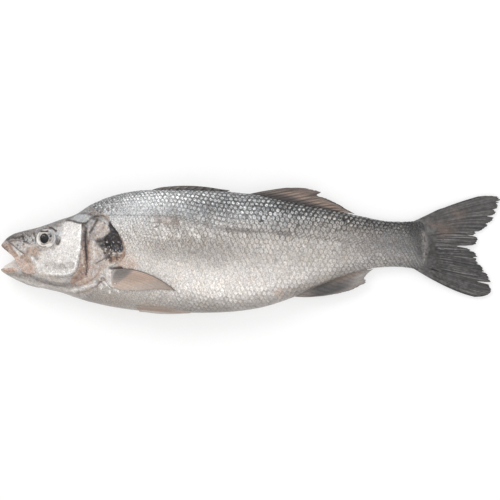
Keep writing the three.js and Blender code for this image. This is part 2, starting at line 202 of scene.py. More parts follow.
def look_up(table, s, share, share_low, share_high):
    """Bilinear reading of a table over s and a second value."""
    i = np.clip((np.asarray(s) - TABLE_S[0]) / (TABLE_S[1] - TABLE_S[0]), 0, len(TABLE_S) - 1.001)
    j = (np.asarray(share) - share_low) / (share_high - share_low) * (table.shape[1] - 1)
    j = np.clip(j, 0, table.shape[1] - 1.001)
    i0, j0 = i.astype(int), j.astype(int)
    a, b = i - i0, j - j0
    return ((1 - a) * ((1 - b) * table[i0, j0] + b * table[i0, j0 + 1])
            + a * ((1 - b) * table[i0 + 1, j0] + b * table[i0 + 1, j0 + 1]))


def flank_length(s):
    """Distance round the flank from the belly line to the back."""
    return np.interp(s, TABLE_S, GIRTH)


def flank_place(s, away, side, lift=0.0):
    """Points at distance away from the belly line along a flank, past the back onto the other."""
    length = flank_length(s)
    over, under = away > length, away < 0
    away = np.where(over, 2 * length - away, np.where(under, -away, away))
    side = np.where(over | under, -side, side)
    angle = look_up(ANGLE_OF_SHARE, s, away / length, 0, 1)
    return skin_point(s, np.where(side > 0, angle, np.pi - angle), lift)


def off_table(points, skin=None):
    """Presses what would reach below the table flat on it; what lies on skin keeps some of its rise."""
    rest = 0.05          # how high the pressed flank lies over the table
    soft = 1.1           # how far above that the pressing fades out
    give = 0.4           # the share of a scale's rise that stays
    height = (points if skin is None else skin)[..., 2]
    squeeze = np.exp(np.minimum((height - rest - soft) / soft, 0))
    pressed = np.where(height < rest + soft, rest + soft * squeeze, height)
    if skin is not None:
        pressed = pressed + np.maximum(squeeze, give) * (points[..., 2] - height)
    points[..., 2] = pressed
    return points


# ---- Meshes ------------------------------------------------------------------

def new_mesh(name, points, polygons, flat=None):
    """A mesh from points in millimetres and arrays of polygons, each of one corner count."""
    mesh = bpy.data.meshes.new(name)
    mesh.vertices.add(len(points))
    mesh.vertices.foreach_set("co", (np.asarray(points, float) * MM).astype(np.float32).ravel())
    corners = np.concatenate([np.asarray(p).ravel() for p in polygons])
    sizes = np.concatenate([np.full(len(p), np.asarray(p).shape[1]) for p in polygons])
    starts = np.concatenate([[0], np.cumsum(sizes)[:-1]])
    mesh.loops.add(len(corners))
    mesh.loops.foreach_set("vertex_index", corners.astype(np.int32))
    mesh.polygons.add(len(sizes))
    mesh.polygons.foreach_set("loop_start", starts.astype(np.int32))
    mesh.update(calc_edges=True)
    sharp = np.zeros(len(sizes), bool) if flat is None else flat
    mesh.polygons.foreach_set("use_smooth", ~sharp)
    mesh.validate()
    return mesh


def add_attribute(mesh, name, values):
    """Stores one number, vector or colour for each vertex."""
    values = np.asarray(values, np.float32)
    if values.ndim == 1:
        mesh.attributes.new(name, "FLOAT", "POINT").data.foreach_set("value", values)
    else:
        full = np.concatenate([values, np.ones((len(values), 1), np.float32)], axis=1)
        mesh.attributes.new(name, "FLOAT_COLOR", "POINT").data.foreach_set("color", full.ravel())


def add_object(name, data):
    """A new object in the scene."""
    thing = bpy.data.objects.new(name, data)
    bpy.context.scene.collection.objects.link(thing)
    return thing


def sided(name, side):
    """The name of a piece or node that each flank has."""
    return name + ("_left" if side == LEFT else "_right")


def new_piece(mesh, material, replaced=()):
    """A piece of the fish, in place of the model's nodes that it replaces."""
    mesh.materials.append(material)
    piece = add_object(mesh.name, mesh)
    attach(piece, "root")
    if replaced:
        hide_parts(*replaced)
    return piece


def grid_quads(rows, columns, closed=False):
    """Quads over a grid of points stored row by row; closed joins the last column to the first."""
    last = columns if closed else columns - 1
    i, j = np.meshgrid(np.arange(rows - 1), np.arange(last), indexing="ij")
    a = i * columns + j
    b = i * columns + (j + 1) % columns
    return np.stack([a, b, b + columns, a + columns], axis=-1).reshape(-1, 4)


# ---- Marks on the side view --------------------------------------------------

def smooth_path(points, closed=False, per=6):
    """A smooth line through a few points (s, y)."""
    points = np.array(points, float)
    if closed:
        padded = np.concatenate([points[-1:], points, points[:2]])
    else:
        padded = np.concatenate([2 * points[:1] - points[1:2], points, 2 * points[-1:] - points[-2:-1]])
    t = (np.arange(per) / per)[:, None]
    parts = []
    for p0, p1, p2, p3 in zip(padded, padded[1:], padded[2:], padded[3:]):
        parts.append(0.5 * (2 * p1 + (p2 - p0) * t + (2 * p0 - 5 * p1 + 4 * p2 - p3) * t**2
                            + (3 * p1 - p0 - 3 * p2 + p3) * t**3))
    path = np.concatenate(parts)
    return path if closed else np.concatenate([path, points[-1:]])


def distance_to(s, y, path):
    """Distance from each point to a path."""
    best = np.full(s.shape, 1e9)
    for a, b in zip(path[:-1], path[1:]):
        way = b - a
        t = np.clip(((s - a[0]) * way[0] + (y - a[1]) * way[1]) / max(way @ way, 1e-9), 0, 1)
        best = np.minimum(best, (s - a[0] - t * way[0]) ** 2 + (y - a[1] - t * way[1]) ** 2)
    return np.sqrt(best)


def within(s, y, path, reach):
    """Which points are in the box round a path, widened by reach."""
    low, high = path.min(0) - reach, path.max(0) + reach
    return (s > low[0]) & (s < high[0]) & (y > low[1]) & (y < high[1])


def line_mark(s, y, points, width):
    """1 on a smooth line, 0 from width away."""
    path = smooth_path(points)
    mark = np.zeros(s.shape)
    near = within(s, y, path, width)
    mark[near] = 1 - step(0.15 * width, width, distance_to(s[near], y[near], path))
    return mark


def area_mark(s, y, outline, soft=0.8):
    """1 inside a smooth outline, 0 outside, blending over soft to each side."""
    path = smooth_path(outline, closed=True)
    path = np.concatenate([path, path[:1]])
    mark = np.zeros(s.shape)
    near = within(s, y, path, soft)
    if not near.any():
        return mark
    sn, yn = s[near], y[near]
    crossings = np.zeros(sn.shape, bool)
    for a, b in zip(path[:-1], path[1:]):
        if a[1] != b[1]:
            straddles = (a[1] > yn) != (b[1] > yn)
            crossings ^= straddles & (sn < a[0] + (yn - a[1]) * (b[0] - a[0]) / (b[1] - a[1]))
    signed = np.where(crossings, 1, -1) * distance_to(sn, yn, path)
    mark[near] = step(-soft, soft, signed)
    return mark


def spot_mark(s, y, centre, radii, turn=0.0):
    """1 in the middle of a soft oval, 0 from its edge out."""
    cosine, sine = np.cos(np.radians(turn)), np.sin(np.radians(turn))
    ds, dy = s - centre[0], y - centre[1]
    across = np.hypot((ds * cosine + dy * sine) / radii[0], (dy * cosine - ds * sine) / radii[1])
    return 1 - step(0.35, 1.0, across)


# ---- Form of the head --------------------------------------------------------

GILL_COVER = [
    (79, 29), (84, 34), (92, 31), (100, 24), (107, 15), (112.5, 6), (114, -2), (111, -9),
    (101.5, -14.2), (95, -20), (89, -28), (80, -36.5), (69, -40), (73, -34), (79, -26), (80.5, -12),
    (80, 8)]
CHEEK_PLATE = [
    (59, 24.4), (66, 25.2), (74.2, 24.2), (74.8, 17), (73.8, 2), (71, -9), (69.2, -16.6),
    (64, -21.4), (52, -22.2), (42, -21.6), (37.4, -15.6), (36.8, -9), (38.4, -3.6), (42.5, -1.0),
    (48.4, 0.4), (53, 3.6), (55.4, 8.4), (57.2, 15)]
UPPER_JAW = [
    (2, 5.2), (8, 5.8), (15, -1.6), (22.5, -5.7), (29.5, -10.6), (32.9, -16.6), (31.6, -21),
    (25.5, -21.4), (21.8, -19.2), (17.1, -12.8), (12.6, -8), (7.2, -1.6)]
# The fleshy root of the pectoral fin.
FIN_ROOT = [(99, -17.6), (112, -17.8), (115, -23), (111.5, -30.5), (101, -32.5)]
EYE_CENTRE, EYE_RADII = (42.4, 9.9), (9.2, 8.5)    # the eye's socket
HEAD_END = 118
# How far the plates stand proud, how deep nostrils and sockets are, and how high a socket's rim is.
COVER_RISE, CHEEK_RISE, JAW_RISE, ROOT_RISE = 0.5, 1.35, 1.1, 1.5
PIT_DEPTH, SOCKET_DEPTH, SOCKET_RIM = 0.9, 3.4, 0.7

# Lines where a groove (minus) or a ridge (plus) runs: points (s, y), width and height.
HEAD_LINES = [
    (((77.6, 16), (77.4, 8), (78.1, -2), (78.2, -12), (78.6, -20)), 1.4, -0.8),  # behind the cheek
    (((61, 27.2), (66, 26.6), (72, 24.8), (77, 24), (82, 26.5), (86, 29)), 1.6, -0.7),  # temple
    (((8.5, 7.8), (12, 5), (16, 1.2), (22.8, -3.4), (28, -7)), 1.3, -0.8),  # over the upper lip
    (((22.4, -22), (30, -24.8), (38.7, -27.8), (48, -30.6), (57, -31.6), (67, -31.2)), 2.6, -0.9),
    (((26, -6.5), (30.5, -9), (34, -13.5), (36.3, -19)), 1.8, 0.5),  # behind the jaw bone
    (((72.4, -39.2), (84.3, -34), (92.5, -25.6), (97, -17.6)), 1.7, 0.6),  # gill membrane's rim
    (((75, -35.5), (85, -30.4), (91, -24)), 1.4, -0.5),
    (((70.5, -29), (76, -26.2), (82.5, -24.8)), 2.0, 0.5),
    (((88, -11.6), (92, -9.2), (96.3, -7.8)), 1.1, -0.4),
    (((84, 22), (86, 13), (85, 4), (85.5, -8)), 1.8, 0.5),  # rib of the gill cover
    (((92.5, 26), (94.5, 21), (91.5, 15.5), (88.5, 12.5)), 1.3, -0.5),
    (((100.5, -15.8), (105, -16.7), (110, -16.9), (114, -17.4)), 1.3, -0.9),  # over the pectoral's root
    (((3, -18.4), (8, -18), (14, -18), (20, -20)), 1.9, 0.5),  # lower lip
    (((3.5, 1.4), (7, -1.6), (10.5, -5), (13.8, -8.8)), 1.6, 0.4),  # upper lip
    (((36, -34.2), (50, -37.2), (64, -40.6)), 1.6, -0.5),  # folds of the throat
    (((30, -29), (44, -33), (58, -35.6), (70, -36.4)), 1.5, 0.35),
    (((45.5, 20.4), (48.5, 19.3), (51, 17.6)), 1.4, -0.4),  # over the eye
    (((21, 13), (22.5, 9.8), (24.5, 7.2), (27.2, 6)), 1.2, -0.5),  # nostrils
]
# Nostrils and pores: centre (s, y) and radius.
HEAD_PITS = [((22.2, 5.7), 0.9), ((16.6, 4.4), 0.7), ((21.4, 12.4), 1.3), ((26.4, 11.4), 1.2)]


def head_relief(points):
    """How far the skin stands proud of the smooth form at each point."""
    ripple = 0.35
    s = points[:, 0] - LIP_X + ripple * noise(points, 5, 3)
    y = points[:, 1] + ripple * noise(points, 5, 4)
    rise = np.zeros(s.shape)
    rise += area_mark(s, y, GILL_COVER, 0.45) * (COVER_RISE + 1.2 * step(78, 106, s))
    rise += CHEEK_RISE * area_mark(s, y, CHEEK_PLATE, 0.45) * (0.25 + 0.75 * step(40, 62, s))
    rise += JAW_RISE * area_mark(s, y, UPPER_JAW, 0.6)
    for line, width, height in HEAD_LINES:
        rise += height * line_mark(s, y, line, width)
    for centre, radius in HEAD_PITS:
        rise -= PIT_DEPTH * spot_mark(s, y, centre, (radius, radius))
    # The eye's socket: smooth round the eye, with a low rim.
    from_eye = np.hypot((s - EYE_CENTRE[0]) / EYE_RADII[0], (y - EYE_CENTRE[1]) / EYE_RADII[1])
    rise = np.where(from_eye < 1.3, rise * step(0.9, 1.3, from_eye), rise)
    rise += SOCKET_RIM * (1 - step(0.0, 0.16, np.abs(from_eye - 1.06)))
    rise -= SOCKET_DEPTH * (1 - step(0.84, 1.0, from_eye))
    rise += ROOT_RISE * area_mark(s, y, FIN_ROOT, 2.2)
    fine = 0.10 * mottle(points, 2.4, 1) + 0.06 * noise(points, 0.9, 2)
    rise += fine * step(HEAD_END + 4, HEAD_END - 12, s)
    return rise


# ---- Colours of the skin -----------------------------------------------------

# How light the flank's skin is, 0 to 255, at places s along it, from the belly line (0) to the back (1).
# Besides the skin's own tone it holds painted light: a painted highlight in the bright band low on
# the flank, and painted shade darkening the skin towards the belly line.
FLANK_LIGHT = [
    (100, [(0, 132), (0.07, 153), (0.16, 178), (0.35, 196), (0.6, 188), (0.8, 186), (0.9, 194),
           (1, 128)]),
    (122, [(0, 142), (0.07, 165), (0.15, 193), (0.3, 204), (0.46, 199), (0.57, 186), (0.63, 180),
           (0.71, 166), (0.8, 180), (0.88, 208), (0.95, 200), (1, 128)]),
    (143, [(0, 132), (0.06, 154), (0.13, 184), (0.22, 203), (0.38, 203), (0.46, 170), (0.57, 160),
           (0.66, 177), (0.78, 162), (0.87, 206), (0.95, 214), (1, 130)]),
    (190, [(0, 124), (0.04, 146), (0.1, 188), (0.18, 237), (0.28, 220), (0.38, 182), (0.46, 157),
           (0.56, 145), (0.64, 164), (0.72, 173), (0.8, 157), (0.88, 142), (0.95, 162), (1, 108)]),
    (216, [(0, 140), (0.05, 166), (0.12, 206), (0.18, 228), (0.27, 215), (0.37, 192), (0.46, 170),
           (0.56, 163), (0.64, 164), (0.72, 176), (0.8, 168), (0.88, 158), (0.95, 146), (1, 102)]),
    (245, [(0, 146), (0.05, 170), (0.12, 203), (0.18, 221), (0.27, 209), (0.36, 202), (0.46, 179),
           (0.56, 181), (0.66, 156), (0.78, 145), (0.9, 134), (1, 104)]),
    (295, [(0, 156), (0.1, 176), (0.2, 195), (0.28, 190), (0.38, 175), (0.5, 180), (0.62, 158),
           (0.75, 138), (0.9, 125), (1, 106)]),
    (345, [(0, 138), (0.18, 145), (0.35, 127), (0.5, 117), (0.7, 124), (0.85, 108), (1, 82)]),
    (382, [(0, 112), (0.5, 97), (1, 76)]),
    (398, [(0, 96), (0.5, 90), (1, 86)]),
]
# How much lighter than that the middle of a scale is: a painted highlight on each scale's crown,
# strongest high on the back.
SCALE_GLEAM = [
    (100, [(0, 6), (0.3, 6), (0.7, 9), (0.86, 8), (0.93, 34), (1, 30)]),
    (143, [(0, 10), (0.15, 12), (0.36, 9), (0.49, 8), (0.56, 14), (0.64, 22), (0.72, 20), (0.82, 12),
           (0.88, 24), (0.94, 64), (1, 48)]),
    (190, [(0, 8), (0.08, 17), (0.15, 21), (0.22, 15), (0.3, 8), (0.46, 13), (0.56, 19), (0.64, 26),
           (0.73, 24), (0.83, 40), (0.92, 70), (1, 48)]),
    (245, [(0, 10), (0.12, 20), (0.2, 18), (0.3, 9), (0.43, 16), (0.57, 25), (0.64, 32), (0.75, 48),
           (0.86, 63), (0.95, 68), (1, 52)]),
    (295, [(0, 18), (0.1, 20), (0.31, 18), (0.53, 25), (0.63, 29), (0.8, 56), (0.96, 66), (1, 50)]),
    (345, [(0, 20), (0.2, 20), (0.36, 12), (0.5, 8), (0.67, 11), (0.95, 38), (1, 28)]),
    (376, [(0, 13), (0.5, 9), (1, 20)]),
    (398, [(0, 6), (0.5, 8), (1, 8)]),
]
# The height y of the lateral line.
LATERAL_LINE = curve_through([
    (96, 31.4), (110, 31), (136, 30.5), (156, 29.2), (172, 26.0), (186, 22.3), (200, 19), (216, 16.9),
    (236, 16.0), (261, 13.2), (283, 10.8), (324, 6.4), (371, 4.2), (384, 4.2)])


def across_stations(stations, s, f):
    """Reads curves over f at stations along s, blending from one to the next."""
    places = [place for place, _ in stations]
    rows = np.stack([curve_through(points)(f) for _, points in stations])
    i = np.clip(np.searchsorted(places, s, side="right") - 1, 0, len(places) - 2)
    low, high = np.array(places)[i], np.array(places)[i + 1]
    share = np.clip((s - low) / (high - low), 0, 1)
    column = np.arange(len(s))
    return rows[i, column] * (1 - share) + rows[i + 1, column] * share


# Where scales are rubbed off under the first dorsal fin.
RUBBED_PATCH = [(138, 33), (150, 37), (163, 31), (160, 23), (148, 21), (139, 26)]


def leaning_spot(s, y, centre, radii):
    """A soft oval that leans back."""
    return spot_mark(s, y, centre, radii, 20)


# Stains and bare places on the flank: the mark's kind, its place and softness, the grain that
# breaks it up (kind, size, seed, and the values from and to which it shows), colour and strength.
FLANK_TINTS = [
    # rubbed patch under the first dorsal fin
    (area_mark, RUBBED_PATCH, 5, (mottle, 4, 21, -0.1, 0.5), (120, 108, 101), 0.5),
    (area_mark, [(140, 28), (156, 30), (166, 25), (160, 20), (146, 21)], 3,
     (mottle, 2.2, 27, -0.4, 0.2), (124, 108, 99), 0.5),
    (area_mark, [(128, 30), (150, 31), (172, 24), (178, 14), (150, 12), (130, 18)], 6,
     (mottle, 3, 22, 0.1, 0.6), (226, 216, 208), 0.5),
    (area_mark, [(186, 33), (200, 38), (214, 30), (206, 22), (190, 24)], 5,
     (mottle, 5, 23, 0.0, 0.6), (110, 104, 102), 0.45),
    # the lateral line shows dark where the scales over it are worn
    (line_mark, [(204, 18.4), (216, 16.9), (228, 16.7), (238, 17.2), (248, 14.4), (261, 13.2)], 0.9,
     (mottle, 2.5, 30, -0.6, 0.2), (98, 91, 87), 0.4),
    # dark specks on the nape
    (area_mark, [(78, 40), (92, 50), (106, 47), (107, 38), (98, 34), (86, 37)], 3,
     (noise, 1.5, 29, 0.05, 0.4), (86, 81, 80), 0.6),
    # flushed skin behind the gill cover, at the vent and low on the breast
    (leaning_spot, (117, -8), (9, 11), None, (206, 184, 170), 0.35),
    (area_mark, [(108, -9.5), (114, -8.5), (122, -11), (126, -14.5), (118, -16.6), (106, -16)], 2.5,
     (mottle, 1.8, 28, -0.8, 0.2), (184, 156, 140), 0.5),
    (area_mark, [(248, -36), (251, -33.5), (256, -38), (252, -44), (247, -45)], 2.0,
     (mottle, 2.5, 24, -0.5, 0.4), (206, 176, 158), 0.5),
    (area_mark, [(70, -43), (84, -38), (100, -41), (118, -50), (100, -52), (84, -48)], 4,
     (mottle, 2.0, 25, -0.1, 0.7), (168, 146, 132), 0.5),
    (line_mark, [(126, -49.5), (140, -51.5), (155, -53)], 3, None, (186, 150, 130), 0.5),
    # smooth grey skin along the root of the anal fin, and a darker line of painted shade where the fin
    # meets it
    (line_mark, [(258, -41.5), (270, -38.6), (284, -34.6), (298, -29.4), (312, -23.4)], 11,
     None, (158, 150, 144), 0.6),
    (line_mark, [(266, -40.5), (280, -37), (294, -32.4), (306, -27)], 6, None, (122, 115, 111), 0.65),
    # the dark end of the tail's stalk
    (area_mark, [(366, 24), (374, 26), (381, 23), (380.5, 6), (380.5, -4), (376, -3), (374, 5),
                 (370, 12)], 4, None, (72, 70, 70), 0.7),
    # paler skin along the lower edge of the stalk and low on the breast
    (area_mark, [(340, -1), (366, -4), (368, -13), (338, -16)], 4, None, (172, 164, 156), 0.22),
    (area_mark, [(94, -38), (120, -41), (142, -43), (142, -56), (94, -54)], 4,
     None, (186, 174, 163), 0.3),
    # the pale fold across the root of the tail
    (line_mark, [(381.6, 15), (382.4, 9), (383.2, 3), (383.6, -4), (383.2, -9)], 3.6,
     (mottle, 2.6, 26, -0.9, 0.1), (154, 149, 145), 0.85),
]
# Small shifts of red, green and blue: the warm flank, less so towards the tail, the brown
# net between scales, and the bluish middles of the scales on the back.
WARM, WARM_REAR = np.array([4.2, -1.2, -6.4]), np.array([-1.2, 0.2, 3.0])
NET_BROWN, BACK_BLUE = np.array([1.0, -0.5, -0.5]), np.array([-1.2, 0.0, 1.2])
GLEAM_SHARE = 0.62       # how much of SCALE_GLEAM shows in the paint


def flank_looks(points, gleam):
    """Colours, 0 to 255, of the flank's skin and its painted light: gleam is 1 in the middle of a scale,
    where its painted highlight lies, minus 1 between, in the dark net of pigment and painted shade.
    """
    s, y = points[:, 0] - LIP_X, points[:, 1]
    f = flank_share(s, y)
    light = across_stations(FLANK_LIGHT, s, f) + GLEAM_SHARE * gleam * across_stations(SCALE_GLEAM, s, f)
    light = light * (1 + 0.03 * mottle(points, 9, 11) + 0.02 * noise(points, 2.6, 12))
    warm = step(0.84 + 0.3 * step(240, 320, s), 0.60, f) * step(410, 320, s)
    looks = light[:, None] + warm[:, None] * (WARM + step(290, 345, s)[:, None] * WARM_REAR)
    brown = step(0.84, 0.6, f) * step(360, 300, s) * np.clip(-gleam, 0, 1)
    blue = step(0.62, 0.8, f) * step(300, 220, s) * np.clip(gleam, 0, 1)
    looks = looks + brown[:, None] * NET_BROWN + blue[:, None] * BACK_BLUE
    for mark, place, soft, grain, colour, strength in FLANK_TINTS:
        mask = mark(s, y, place, soft)
        if grain:
            kind, size, seed, low, high = grain
            mask = mask * step(low, high, kind(points, size, seed))
        looks = blend_looks(looks, colour, mask * strength)
    return looks


# Paint of the head, in order: an area, line or spot on the side view, its colour
# (0 to 255), how strongly it covers, its softness or width, and how broken up it is.
# Specks are grains of that size over an area, and the last number is how much of it they cover.
AREA, LINE, SPOT, SPECKS = "area", "line", "spot", "specks"
SPECKS_EDGE = 1.2        # how softly an area of specks ends
# The near-black patch on the rear of the gill cover.
DARK_PATCH = [
    (98.8, 21.6), (99.6, 24.4), (101.8, 24.6), (105.4, 20), (108.6, 14.2), (111.6, 7.6), (112.4, 0.6),
    (109, -2.4), (103.5, -2), (99, 1.6), (95.4, 6), (95.4, 11.4), (97.6, 14), (100.2, 17.6)]
# Smooth skin, which has less grain than the rest of the head.
THROAT = [
    (-2, -17), (10, -21), (24, -24), (38, -28), (52, -31), (68, -33), (78, -44), (50, -44), (20, -36),
    (-2, -24)]
